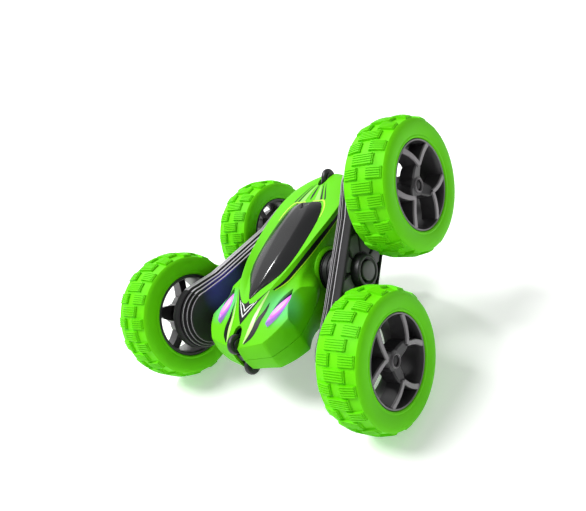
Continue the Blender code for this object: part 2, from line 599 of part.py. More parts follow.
def build_wheel(label, out, end, swing):
    hub = frame(f"wheel_{label}_frame", out, (WHEEL_X, end * AXLE_Y, 0))
    build_tyre(f"tyre_{label}", hub, -swing)

    band = [(-RIM_HALF_WIDTH, RIM_INNER), (RIM_HALF_WIDTH, RIM_INNER), (RIM_HALF_WIDTH, RIM_RADIUS),
            (-RIM_HALF_WIDTH, RIM_RADIUS)]
    turn = (math.radians(RIM_TURN[label]), 0, 0)
    rim = piece(f"rim_{label}", turned(band, RIM_SIDES), GREY, hub, turn=turn)
    face = piece(f"rim_{label}_face", rod(RIM_INNER + 0.8, *FACE_X, RIM_SIDES), parent=rim)
    boss = piece(f"rim_{label}_boss", rod(6.0, -7.0, FACE_X[1] - 1.4, 16), parent=rim)
    combine(rim, "UNION", face, boss)
    for k in range(3):
        bisector = math.tau * k / 3
        windows = {"fork": (bisector, 11.5, 25.0), "wide": (bisector + math.pi / 3, 7.5, 24.0)}
        for kind, (middle, apex, spread) in windows.items():
            window = prism(window_outline(middle, apex, spread), 0, 20, axis="X")
            combine(rim, "DIFFERENCE", piece(f"rim_{label}_{kind}_{k}", window, parent=rim))
    socket = piece(f"rim_{label}_socket", rod(AXLE_RADIUS + GAP, -10, FACE_X[0] - 1.2, 12), parent=rim)
    well = piece(f"rim_{label}_well", rod(3.1, FACE_X[0] + 0.6, 14, 12), parent=rim)
    thread = piece(f"rim_{label}_thread", rod(1.3, 0, 10, 8), parent=rim)
    combine(rim, "DIFFERENCE", socket, well, thread)

    axle = piece(f"axle_gear_{label}", gear(GEAR_X), NYLON, out, (0, end * AXLE_Y, 0))
    axle_end = WHEEL_X + FACE_X[0] - 1.6
    shaft = piece(f"axle_{label}", rod(AXLE_RADIUS, 33.9, axle_end, 12), parent=axle)
    tapping = piece(f"axle_tapping_{label}", rod(1.3, axle_end - 9, axle_end + 4, 8), parent=axle)
    combine(axle, "UNION", shaft)
    combine(axle, "DIFFERENCE", tapping)
    head = rod(2.8, FACE_X[0] + 0.9, FACE_X[0] + 2.4, 12)
    screw = piece(f"wheel_screw_{label}", head, STEEL, hub)
    combine(screw, "UNION", piece(f"screw_stem_{label}", rod(1.0, 0.0, FACE_X[0] + 1.6, 8), parent=hub))


for hand, side in (("left", 1), ("right", -1)):
    build_arm(hand, side)

# ---- Stand the middle of the footprint on the origin ------------------------------------------------

bpy.context.view_layer.update()
tread = [
    tyre.matrix_world @ corner.co
    for tyre in car.objects if tyre.name.startswith("tyre_")
    for corner in tyre.data.vertices
]
for i in range(2):
    reach = [point[i] for point in tread]
    ground.location[i] -= (min(reach) + max(reach)) / 2
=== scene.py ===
"""Looks of the stunt car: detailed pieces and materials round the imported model.

Every piece is made in the frame of the part that it belongs to, in millimetres. The frames come from
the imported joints: an arm's or wheel's own X points outward along the axle, and the body's runs to the
car's left, with Y to the tail and Z up.
"""

import json
import math

import bmesh
import bpy
from mathutils import Matrix, Vector
from mathutils.bvhtree import BVHTree


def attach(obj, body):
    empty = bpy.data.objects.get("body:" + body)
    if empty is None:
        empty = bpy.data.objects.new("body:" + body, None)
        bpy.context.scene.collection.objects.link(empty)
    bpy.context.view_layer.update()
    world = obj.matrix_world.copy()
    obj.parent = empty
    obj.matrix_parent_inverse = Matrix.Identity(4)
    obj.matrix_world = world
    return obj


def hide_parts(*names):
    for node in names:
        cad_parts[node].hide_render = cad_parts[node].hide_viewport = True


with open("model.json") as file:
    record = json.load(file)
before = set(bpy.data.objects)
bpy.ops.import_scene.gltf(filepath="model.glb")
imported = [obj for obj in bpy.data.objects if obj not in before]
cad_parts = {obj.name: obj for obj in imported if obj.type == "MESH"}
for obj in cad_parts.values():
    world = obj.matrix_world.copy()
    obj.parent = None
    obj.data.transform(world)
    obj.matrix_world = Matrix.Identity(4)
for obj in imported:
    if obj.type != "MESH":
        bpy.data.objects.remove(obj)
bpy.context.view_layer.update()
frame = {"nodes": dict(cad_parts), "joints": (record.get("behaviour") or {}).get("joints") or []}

MM = 0.001

# ---- Dimensions shared with the frame ----

JOINTS = {joint["name"]: joint for joint in frame["joints"]}


def joint_place(name):
    return Vector(JOINTS[name]["pos_m"])


CENTRE = joint_place("arm_left_swing")
AXLE = Vector(JOINTS["arm_left_swing"]["axis"]).normalized()
HANDS = {"left": 1, "right": -1}
ENDS = ("front", "rear")
BODY_PITCH = math.radians(11.0)
ARM_SWING = {"left": math.radians(41.68), "right": 0.0}

TREAD_ROWS = 32
TREAD_RADIUS = 37.3
CROWN_HALF_WIDTH = 5.0
SHOULDER_SLOPE = math.tan(math.radians(13.45))
BLOCK_HEIGHT = 1.35
BLOCK_FILL = 0.84
RIBS = 5
RIM_TURN = {"front_left": 93.0, "rear_left": 30.0, "front_right": 40.0, "rear_right": 10.0}

CASE_INNER = 33.5
CASE_SEAM = 40.0
CASE_OUTER = 46.0
HUB_OUTER = 49.4
END_RADIUS = 19.0
WAIST = 16.0
AXLE_RADIUS = 2.5
BARREL_RADIUS = 11.0


def axes(x_axis, y_axis, origin):
    z_axis = x_axis.cross(y_axis).normalized()
    y_axis = z_axis.cross(x_axis)
    matrix = Matrix((x_axis, y_axis, z_axis)).transposed().to_4x4()
    return Matrix.Translation(origin) @ matrix


AXIS_FRAME = axes(AXLE, Vector((0, 1, 0)), CENTRE)
BODY_FRAME = AXIS_FRAME @ Matrix.Rotation(BODY_PITCH, 4, "X")


def wheel_place(end, hand):
    return joint_place(f"wheel_{end}_{hand}_spin")


def arm_frame(hand):
    """X outward, Y along the arm: to the rear on the left arm, to the front on the right one."""
    rearward = (wheel_place("rear", hand) - wheel_place("front", hand)).normalized()
    return axes(AXLE * HANDS[hand], rearward * HANDS[hand], CENTRE)


def wheel_frame(end, hand):
    return Matrix.Translation(wheel_place(end, hand) - CENTRE) @ arm_frame(hand)


HALF_BASE = (wheel_place("rear", "left") - wheel_place("front", "left")).length / 2 / MM

# ---- Mesh helpers ----


def mesh_of(name, shape):
    """A mesh in metres from a bmesh in millimetres."""
    bmesh.ops.scale(shape, vec=(MM, MM, MM), verts=shape.verts)
    mesh = bpy.data.meshes.new(name)
    shape.to_mesh(mesh)
    shape.free()
    return mesh


def add_object(name, data):
    made = bpy.data.objects.new(name, data)
    bpy.context.scene.collection.objects.link(made)
    return made


def piece(name, shape, place, materials, body, replaces, sharp=32):
    """A finished piece from a bmesh in millimetres in its own frame."""
    bmesh.ops.recalc_face_normals(shape, faces=shape.faces)
    finish_piece(name, mesh_of(name, shape), place, materials, body, replaces, sharp)


def finish_piece(name, mesh, place, materials, body, replaces, sharp):
    """Puts a mesh into the scene on its body, with edges above the given angle kept sharp."""
    mesh.transform(place)
    made = add_object(name, mesh)
    for finish in materials:
        mesh.materials.append(finish)
    mesh.shade_smooth()
    mesh.set_sharp_from_angle(angle=math.radians(sharp))
    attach(made, body)
    if replaces:
        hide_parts(replaces)


def grid_faces(shape, rows, close_rows=False, close_columns=False, material=0):
    """Quads between rows of points."""
    made = [[shape.verts.new(point) for point in row] for row in rows]
    for one, two in zip(made, made[1:] + made[:1] if close_rows else made[1:]):
        count = len(one)
        for i in range(count if close_columns else count - 1):
            j = (i + 1) % count
            face = shape.faces.new((one[i], one[j], two[j], two[i]))
            face.material_index = material
    return made


def loft(shape, rings, material=0):
    """A closed solid through rings of equal length, with a flat cap at each end."""
    made = grid_faces(shape, rings, close_columns=True, material=material)
    for ring in (made[0], made[-1]):
        shape.faces.new(ring).material_index = material
    return shape


def turned(shape, profile, sides, material=0):
    """A ring turned about X from a closed profile of (x, radius)."""
    rows = []
    for k in range(sides):
        angle = math.tau * k / sides
        rows.append([(x, radius * math.cos(angle), radius * math.sin(angle)) for x, radius in profile])
    grid_faces(shape, rows, close_rows=True, close_columns=True, material=material)


def circle(radius, sides, centre=(0, 0)):
    turns = [math.tau * k / sides for k in range(sides)]
    return [(centre[0] + radius * math.cos(turn), centre[1] + radius * math.sin(turn)) for turn in turns]


def disc(shape, profile, sides, centre=(0, 0)):
    """A solid of revolution about an axis along X, from an open profile of (x, radius), capped."""
    rings = [[(x, y, z) for y, z in circle(radius, sides, centre)] for x, radius in profile]
    return loft(shape, rings)


def block(shape, low, high):
    (x0, y0, z0), (x1, y1, z1) = low, high
    loft(shape, [[(x, y0, z0), (x, y1, z0), (x, y1, z1), (x, y0, z1)] for x in (x0, x1)])


# ---- Materials ----


def shader_of(name):
    made = bpy.data.materials.new(name)
    made.use_nodes = True
    return made, made.node_tree, made.node_tree.nodes["Principled BSDF"]


def noise(tree, place, scale, detail):
    made = tree.nodes.new("ShaderNodeTexNoise")
    made.inputs["Scale"].default_value = scale
    made.inputs["Detail"].default_value = detail
    tree.links.new(place, made.inputs["Vector"])
    return made.outputs["Fac"]


def colour_ramp(tree, share, first, last, between=()):
    """A ramp with a stop at each end and those between, each of them (position, colour)."""
    made = tree.nodes.new("ShaderNodeValToRGB")
    stops = made.color_ramp.elements
    for stop, (position, colour) in zip(stops, (first, last)):
        stop.position = position
        stop.color = (*colour, 1)
    for position, colour in between:
        stops.new(position).color = (*colour, 1)
    tree.links.new(share, made.inputs["Fac"])
    return made


def moulded(name, colour, roughness, spread, grain, depth, mottle, specular=0.5, metallic=0.0):
    """Moulded plastic or rubber: faint cloudiness in the colour, uneven gloss and a fine grain.

    The spread is the colour's, the grain and mottle are scales of noise, and the depth is the grain's.
    """
    made, tree, shader = shader_of(name)
    links, nodes = tree.links, tree.nodes
    place = nodes.new("ShaderNodeTexCoord").outputs["Object"]
    cloud = noise(tree, place, mottle, 4.0)
    low = [max(c * (1 - spread), 0.0) for c in colour]
    high = [min(c * (1 + spread), 1.0) for c in colour]
    tint = colour_ramp(tree, cloud, (0.3, low), (0.7, high))
    links.new(tint.outputs["Color"], shader.inputs["Base Color"])
    gloss = nodes.new("ShaderNodeMapRange")
    gloss.inputs["To Min"].default_value = max(roughness - 0.05, 0.02)
    gloss.inputs["To Max"].default_value = roughness + 0.05
    links.new(cloud, gloss.inputs["Value"])
    links.new(gloss.outputs["Result"], shader.inputs["Roughness"])
    bump = nodes.new("ShaderNodeBump")
    bump.inputs["Strength"].default_value = depth * 4
    bump.inputs["Distance"].default_value = 0.05 * MM
    links.new(noise(tree, place, grain, 2.0), bump.inputs["Height"])
    links.new(bump.outputs["Normal"], shader.inputs["Normal"])
    shader.inputs["Specular IOR Level"].default_value = specular
    shader.inputs["Metallic"].default_value = metallic
    return made


tyre_rubber = moulded("tyre_rubber", (0.130, 0.66, 0.001), 0.55, 0.05, 1500, 0.05, 40, 0.12)
shell_green = moulded("shell_green", (0.113, 0.555, 0.001), 0.5, 0.03, 2500, 0.01, 30, 0.12)
graphic_black = moulded("graphic_black", (0.006, 0.006, 0.007), 0.4, 0.2, 2500, 0.01, 90, 0.2)
graphic_pale = moulded("graphic_pale", (0.50, 0.80, 0.24), 0.3, 0.04, 2500, 0.01, 90)
graphic_mint = moulded("graphic_mint", (0.28, 0.72, 0.12), 0.35, 0.04, 2500, 0.01, 90, 0.2)
graphic_yellow = moulded("graphic_yellow", (0.52, 0.86, 0.03), 0.3, 0.04, 2500, 0.01, 90)
graphic_white = moulded("graphic_white", (0.85, 0.88, 0.86), 0.3, 0.02, 2500, 0.01, 90)
canopy_black = moulded("canopy_black", (0.013, 0.013, 0.014), 0.14, 0.15, 2500, 0.005, 25, 0.22)
arm_grey = moulded("arm_grey", (0.022, 0.021, 0.023), 0.42, 0.12, 1400, 0.08, 70, 0.2)
# A copy of the arm's grey that is given a painted violet lamp glow further down
arm_painted_lamp_glow = moulded("arm_painted_lamp_glow", (0.022, 0.021, 0.023), 0.42, 0.12, 1400, 0.08, 70, 0.2)
# Painted highlight: light grey for edge faces that catch the light from above
arm_painted_highlight = moulded("arm_painted_highlight", (0.37, 0.35, 0.38), 0.36, 0.08, 1400, 0.04, 70)
# Painted shade: a dull dark copy of the arm's grey for edge faces out of the light
arm_painted_shade = moulded("arm_painted_shade", (0.022, 0.021, 0.023), 0.45, 0.08, 1400, 0.04, 70, 0.08)
cap_grey = moulded("cap_grey", (0.075, 0.073, 0.076), 0.42, 0.08, 1400, 0.06, 70)
trim_black = moulded("trim_black", (0.010, 0.010, 0.011), 0.44, 0.2, 1400, 0.08, 70)
rim_black = moulded("rim_black", (0.030, 0.029, 0.031), 0.36, 0.15, 1500, 0.05, 60)
rim_edge = moulded("rim_edge", (0.21, 0.20, 0.21), 0.34, 0.10, 1500, 0.03, 60)
steel = moulded("zinc_steel", (0.55, 0.55, 0.56), 0.3, 0.1, 1500, 0.05, 80, metallic=1.0)
black_steel = moulded("black_steel", (0.015, 0.015, 0.016), 0.4, 0.1, 1500, 0.05, 80, metallic=0.6)
nylon = moulded("gear_nylon", (0.70, 0.68, 0.60), 0.45, 0.05, 1200, 0.05, 60)
board_green = moulded("board_green", (0.01, 0.13, 0.05), 0.4, 0.25, 1800, 0.2, 400)
battery_wrap = moulded("battery_wrap", (0.03, 0.09, 0.40), 0.35, 0.1, 800, 0.05, 60)
motor_metal = moulded("motor_metal", (0.33, 0.33, 0.34), 0.4, 0.1, 900, 0.1, 50, metallic=0.8)


def glowing_lens():
    """A lamp lens: white in the middle, violet towards its edge."""
    made, tree, shader = shader_of("lens_violet")
    share = tree.nodes.new("ShaderNodeAttribute")
    share.attribute_name = "edge_share"
    ends = ((0.10, (1.0, 0.84, 1.0)), (1.0, (0.22, 0.16, 0.50)))
    between = ((0.34, (0.86, 0.36, 0.90)), (0.62, (0.46, 0.10, 0.58)))
    ramp = colour_ramp(tree, share.outputs["Fac"], *ends, between)
    for socket in ("Base Color", "Emission Color"):
        tree.links.new(ramp.outputs["Color"], shader.inputs[socket])
    shader.inputs["Emission Strength"].default_value = 0.85
    shader.inputs["Roughness"].default_value = 0.08
    return made


lens_violet = glowing_lens()

# ---- Wheels ----


def crown_radius(x):
    """The tread's outer radius: flat in the middle, sloping to the shoulders."""
    return TREAD_RADIUS - max(abs(x) - CROWN_HALF_WIDTH, 0.0) * SHOULDER_SLOPE


def tread_bar(shape, x_low, x_high, angle_low, angle_high, low, high, draft):
    """One raised bar across the tread, between two depths under the crown, drawn in at its top."""
    bends = [x for x in (-CROWN_HALF_WIDTH, CROWN_HALF_WIDTH) if x_low < x < x_high]
    steps = [x_low, *bends, x_high]
    side = draft / TREAD_RADIUS
    rings = []
    corners = ((low, 0.0, angle_low), (high, 1.0, angle_low + side), (high, 1.0, angle_high - side),
               (low, 0.0, angle_high))
    for x in steps:
        inner = draft if x == x_low else -draft if x == x_high else 0.0
        ring = []
        for depth, pull, angle in corners:
            radius = crown_radius(x) - depth
            ring.append((x + inner * pull, radius * math.cos(angle), radius * math.sin(angle)))
        rings.append(ring)
    loft(shape, rings)


def tyre_mesh():
    """Brick tread: a wide block in the middle of one row, a pair of outer blocks in the next."""
    shape = bmesh.new()
    half = [
        (11.9, 24.2), (12.35, 24.5), (12.6, 25.1), (12.45, 25.9), (12.75, 26.8), (13.1, 28.6), (13.2, 30.6),
        (13, 32.4), (12.45, 33.9), (11.7, 34.6),
    ]
    crown = [(x, crown_radius(x) - BLOCK_HEIGHT) for x in (10.9, 8, 5, 2)]
    outside = half + crown
    profile = outside + [(-x, radius) for x, radius in reversed(outside)]
    turned(shape, profile, 96)
    pitch = math.tau / TREAD_ROWS
    block_span = BLOCK_FILL * pitch
    step = block_span / RIBS
    for row in range(TREAD_ROWS):
        start = row * pitch + (pitch - block_span) / 2
        spans = [(-6.4, 6.4)] if row % 2 else [(-11.3, -2.4), (2.4, 11.3)]
        for x_low, x_high in spans:
            tread_bar(shape, x_low, x_high, start, start + block_span, BLOCK_HEIGHT + 0.3, 0.42, 0.18)
            for rib in range(RIBS):
                low = start + (rib + 0.16) * step
                tread_bar(shape, x_low + 0.5, x_high - 0.5, low, low + 0.68 * step, 0.6, 0, 0.1)
    bmesh.ops.recalc_face_normals(shape, faces=shape.faces)
    return mesh_of("tyre", shape)


# Cross sections of the spokes: depth under the face, and share of the half width
STEM_SECTION = ((0.7, -1), (0, -0.72), (0, 0.72), (0.7, 1), (8, 1.25), (8, -1.25))
WEB_SECTION = ((0.25, -0.95), (0.25, 0.95), (3.5, 1.3), (8.5, 1.9), (8.5, -1.9), (3.5, -1.3))
EDGE_SECTION = ((0.9, -1.1), (0.2, -1.02), (0, -0.8), (0, 0.8), (0.2, 1.02), (0.9, 1.1))


def heading(angle):
    return Vector((math.cos(angle), math.sin(angle)))


def spoke_ring(middle, across, face, section):
    spots = [(face - depth, middle + across * share) for depth, share in section]
    return [(x, spot.x, spot.y) for x, spot in spots]


def spoke_path(bisector, hand):
    """Sections of one fork arm, from its root to the rim: middle, half width across and face height."""
    root = heading(bisector) * 10.6
    tip = heading(bisector + hand * math.radians(31.5)) * 23.0
    course = (tip - root).normalized()
    across = Vector((-course.y, course.x))
    for k in range(7):
        part = k / 6
        bow = hand * -0.9 * math.sin(math.pi * part)
        middle = root.lerp(tip, part) + across * bow
        yield middle, across * (1.15 + 0.3 * part * part), 12.9 - 0.9 * part * part


def rim_mesh():
    """The band, three forks of bright-edged spokes on dark stems, and the hub."""
    shape = bmesh.new()
    band = [
        (-11.6, 24), (11.5, 24), (11.95, 23.75), (12.05, 23.4), (11.9, 23.05), (11.2, 22.7), (9, 21.9),
        (2, 21.2), (-6, 21.4), (-10.8, 22), (-11.6, 22.4), (-11.9, 22.9), (-11.9, 23.6),
    ]
    turned(shape, band, 96, 0)
    lip = [(11.4, 23.95), (12.05, 23.75), (12.25, 23.4), (12.05, 23.05), (11.4, 22.9)]
    turned(shape, lip, 96, 1)
    for fork in range(3):
        bisector = math.tau * fork / 3
        out = heading(bisector)
        across = Vector((-out.y, out.x))
        stem = ((2.5, 3.9, 9.6), (6, 3.6, 10.4), (9, 3.2, 11.4), (11.6, 1.8, 12.3))
        rings = [spoke_ring(out * reach, across * half, face, STEM_SECTION) for reach, half, face in stem]
        loft(shape, rings)
        for hand in (1, -1):
            for outline, material in ((WEB_SECTION, 0), (EDGE_SECTION, 1)):
                rings = [spoke_ring(*section, outline) for section in spoke_path(bisector, hand)]
                loft(shape, rings, material)
    bore = AXLE_RADIUS + 0.3
    hub = [(-7, bore), (-7, 5.2), (-6.4, 5.7), (8.4, 6), (9.6, 5.4), (10.2, 4.2), (10.2, 3.1),
           (8, 3.1), (8, bore)]
    turned(shape, hub, 40, 0)
    ring = [(10, 3), (10.7, 3.1), (10.9, 3.35), (10.7, 3.65), (10, 3.8)]
    turned(shape, ring, 40, 1)
    bmesh.ops.recalc_face_normals(shape, faces=shape.faces)
    return mesh_of("rim", shape)


def wheel_screw(end, hand):
    shape = bmesh.new()
    disc(shape, [(0, 1), (8.6, 1), (8.62, 2), (8.9, 2.6), (9.4, 2.6), (9.9, 2.2), (10.15, 1.2)], 24)
    place = wheel_frame(end, hand)
    piece(f"wheel_screw_head_{end}_{hand}", shape, place, [black_steel], f"wheel_{end}_{hand}",
          f"wheel_screw_{end}_{hand}")


def build_wheels():
    tyre, rim = tyre_mesh(), rim_mesh()
    for hand, side in HANDS.items():
        for end in ENDS:
            place = wheel_frame(end, hand)
            body = f"wheel_{end}_{hand}"
            level = Matrix.Rotation(-ARM_SWING[hand] * side, 4, "X")
            finish_piece(f"tread_tyre_{end}_{hand}", tyre.copy(), place @ level, [tyre_rubber], body,
                         f"tyre_{end}_{hand}", 28)
            turn = Matrix.Rotation(math.radians(RIM_TURN[f"{end}_{hand}"]), 4, "X")
            finish_piece(f"spoked_rim_{end}_{hand}", rim.copy(), place @ turn, [rim_black, rim_edge], body,
                         f"rim_{end}_{hand}", 30)
            wheel_screw(end, hand)


# ---- Arms ----


ARC_SIDES = 22


def dog_bone(end_radius, waist):
    """The arm's outline: a round end about each axle, joined by a narrower waist."""
    outline = []
    for end in (1, -1):
        for i in range(ARC_SIDES + 1):
            angle = math.radians(-105 + 210 * i / ARC_SIDES)
            y = HALF_BASE + end_radius * math.cos(angle)
            outline.append((end * y, end * end_radius * math.sin(angle)))
        for reach in (0.55, 0.2, -0.2, -0.55):
            outline.append((end * HALF_BASE * reach, end * waist))
    return outline


def case(shape, levels):
    """A solid stacked from outlines, one at each (x, end radius, waist)."""
    loft(shape, [[(x, y, z) for y, z in dog_bone(radius, waist)] for x, radius, waist in levels])


def add_at(shape, other, shift):
    """Adds another bmesh to this one, moved along the arm."""
    bmesh.ops.translate(other, vec=(0, shift, 0), verts=other.verts)
    scratch = bpy.data.meshes.new("scratch")
    other.to_mesh(scratch)
    other.free()
    shape.from_mesh(scratch)
    bpy.data.meshes.remove(scratch)


CASE_WALL = 1.7
CASE_FLOOR = CASE_OUTER - 2.4
PLATE_LOW = CASE_FLOOR - 0.2
PLATE_TOP = CASE_OUTER - 0.7
PLATE_SPREAD = math.radians(19)
PLATE_LIMIT = WAIST - CASE_WALL - 0.7
# The inner case's faces that carry painted highlight on the right arm and painted shade elsewhere, as spans
# of distance from its inner side
PAINTED_LIGHT_BANDS = ((0.3, 1.72), (2.2, 3.85), (4.3, 6.1))


def wedge_plate(shape, middle, inner, outer):
    """A raised plate of the sunk face, between two radii about the hub and inside the case's rim."""
    rings = []
    parts = (-1, -0.5, 0, 0.5, 1)
    for x, shrink in ((PLATE_LOW, 0), (PLATE_TOP - 0.3, 0), (PLATE_TOP, 0.3)):
        ring = []
        limit = PLATE_LIMIT - shrink
        for radius, order in ((inner + shrink, parts), (outer - shrink, parts[::-1])):
            for part in order:
                angle = middle + (PLATE_SPREAD - shrink / radius) * part
                z = radius * math.sin(angle)
                ring.append((x, radius * math.cos(angle), max(-limit, min(limit, z))))
        rings.append(ring)
    loft(shape, rings, 3)


def sunk_plates(shape):
    """The raised wedges of the outer case's sunk face: a star round the hub and a fan at each end."""
    for k in range(8):
        outer = 21.0 if k % 4 == 0 else 20.0 if k % 2 else PLATE_LIMIT
        wedge_plate(shape, math.pi / 4 * k, 10.2, outer)
    for end, first in ((1, -100), (-1, 80)):
        for k in range(5):
            plate = bmesh.new()
            wedge_plate(plate, math.radians(first + 50 * k), 9.4, END_RADIUS - CASE_WALL - 1)
            add_at(shape, plate, end * HALF_BASE)


def painted_light_band(shape, x_low, x_high, radius, waist, proud=0.06):
    """A narrow band of painted highlight along a corner of the case's edge."""
    outer = [dog_bone(radius + proud, waist + proud), dog_bone(radius - 0.3, waist - 0.3)]
    rows = [[(x, y, z) for y, z in outline] for x, outline in
            ((x_low, outer[1]), (x_low, outer[0]), (x_high, outer[0]), (x_high, outer[1]))]
    grid_faces(shape, rows, close_rows=True, close_columns=True, material=2)


def outer_case(hand):
    """The outer half: a rimmed plate, the hub's collar and a boss over each axle."""
    shape = bmesh.new()
    steps = [(CASE_FLOOR, CASE_WALL + 0.3), (CASE_OUTER - 0.3, CASE_WALL), (CASE_OUTER, CASE_WALL - 0.3),
             (CASE_OUTER, 1), (CASE_OUTER - 0.3, 0.35), (CASE_OUTER - 1, 0), (CASE_SEAM + 0.7, 0),
             (CASE_SEAM + 0.2, 0.5)]
    levels = [(x, END_RADIUS - inset, WAIST - inset) for x, inset in steps]
    levels += [(CASE_SEAM + 0.2, 14.8, 14), (CASE_OUTER - 3.6, 14.2, 13.6)]
    case(shape, levels)
    for face in shape.faces:
        middle = face.calc_center_median()
        if len(face.verts) > 4 and abs(middle.x - CASE_FLOOR) < 0.1:
            face.material_index = 1
        # Painted shade: the left arm's outer band, which faces away from the light
        elif hand == "left" and CASE_SEAM < middle.x < CASE_OUTER - 0.6:
            face.material_index = 4
    # Painted highlight along the case's edge: one thin line on the left arm, two wide bands on the right arm
    if hand == "left":
        painted_light_band(shape, CASE_SEAM + 0.75, CASE_SEAM + 1.3, END_RADIUS, WAIST)
    else:
        for x_low, x_high in ((CASE_SEAM + 0.8, CASE_SEAM + 2.7), (CASE_SEAM + 3.1, CASE_OUTER - 1.1)):
            painted_light_band(shape, x_low, x_high, END_RADIUS, WAIST, 0.1)
        # Painted shade where the right arm's bands run round its front end
        for face in shape.faces:
            if face.material_index == 2 and face.calc_center_median().y > HALF_BASE:
                face.material_index = 4
    collar = [(CASE_FLOOR - 1, 6), (CASE_FLOOR - 1, 9.4), (47.4, 9.2), (48.9, 8.9), (HUB_OUTER - 0.1, 8.5),
              (HUB_OUTER, 8.1), (HUB_OUTER, 7.4), (49, 6.9), (48.4, 6)]
    turned(shape, collar, 56, 1)
    ring = [(HUB_OUTER - 0.3, 7.2), (HUB_OUTER + 0.06, 7.3), (HUB_OUTER + 0.06, 7.7), (HUB_OUTER - 0.3, 7.8)]
    turned(shape, ring, 56, 3)
    for end in (1, -1):
        boss = bmesh.new()
        turned(boss, [(CASE_FLOOR - 1, 2.9), (CASE_FLOOR - 1, 8.6), (47.4, 8.2), (49, 7.8),
                      (HUB_OUTER, 7.2), (HUB_OUTER, 4.2), (48.6, 3.9), (48.6, 2.9)], 40)
        add_at(shape, boss, end * HALF_BASE)
    sunk_plates(shape)
    return shape


def inner_case(hand):
    """The inner half: three stepped plates, the journal that enters the barrel and a cup at each axle."""
    shape = bmesh.new()
    steps = [(0, 13.6, 11.8), (0, 14.6, 12.8), (0.4, 15, 13.2), (1.7, 15.1, 13.3), (1.7, 14.7, 12.9),
             (2, 14.7, 12.9), (2, 16.2, 14.1), (2.3, 16.5, 14.4), (3.8, 16.6, 14.5), (3.8, 16.1, 14),
             (4.1, 16.1, 14), (4.1, 17.5, 15), (4.4, 17.8, 15.3), (6, 17.9, 15.3), (6, 17.3, 14.8),
             (6.3, 17.3, 14.8), (6.3, 14.8, 13.6), (1.8, 13.2, 12.4)]
    case(shape, [(CASE_INNER + rise, radius, waist) for rise, radius, waist in steps])
    for face in shape.faces:
        middle = face.calc_center_median()
        lengthwise = middle.y if abs(middle.y) < HALF_BASE else abs(middle.y) - HALF_BASE
        outboard = math.hypot(lengthwise, middle.z)
        # Painted light on the stepped plates' risers: highlight on the right arm short of its front end,
        # shade on that end and on the left arm
        if any(low < middle.x - CASE_INNER < high for low, high in PAINTED_LIGHT_BANDS) and outboard > 12.9:
            face.material_index = 2 if hand == "right" and middle.y < HALF_BASE else 3
    # Painted highlight: thin light lines along the steps' corners
    for rise, radius, waist in ((0.4, 15.05, 13.25), (2.3, 16.55, 14.45), (4.4, 17.85, 15.3)):
        painted_light_band(shape, CASE_INNER + rise, CASE_INNER + rise + 0.3, radius, waist)
    foot = CASE_INNER + 0.6
    turned(shape, [(18, 2.9), (18, 7.2), (18.4, 7.5), (foot, 7.5), (foot, 2.9)], 40, 1)
    for end in (1, -1):
        cup = bmesh.new()
        turned(cup, [(CASE_INNER - 0.02, 2.9), (CASE_INNER - 0.02, 5.2), (CASE_INNER + 0.5, 5.6),
                     (CASE_INNER + 0.5, 2.9)], 32)
        add_at(shape, cup, end * HALF_BASE)
    return shape


def build_arm(hand):
    place = arm_frame(hand)
    body = f"arm_{hand}"
    finishes = [arm_grey, trim_black, arm_painted_highlight, cap_grey, arm_painted_shade]
    piece(f"arm_shell_outer_{hand}", outer_case(hand), place, finishes, body, f"arm_outer_case_{hand}",
          30)
    # The right arm's inner case wears the copy with the painted lamp glow
    finishes = [arm_painted_lamp_glow if hand == "right" else arm_grey, trim_black, arm_painted_highlight, arm_painted_shade]
    piece(f"arm_shell_inner_{hand}", inner_case(hand), place, finishes, body, f"arm_inner_case_{hand}",
          30)
    shape = bmesh.new()
    disc(shape, [(CASE_OUTER - 0.3, 5.5), (49.3, 5.5), (49.6, 5.3), (49.75, 4.9), (49.75, 1)], 48)
    piece(f"arm_cap_{hand}", shape, place, [cap_grey], body, f"arm_hub_cap_{hand}", 30)


# ---- Body shells ----

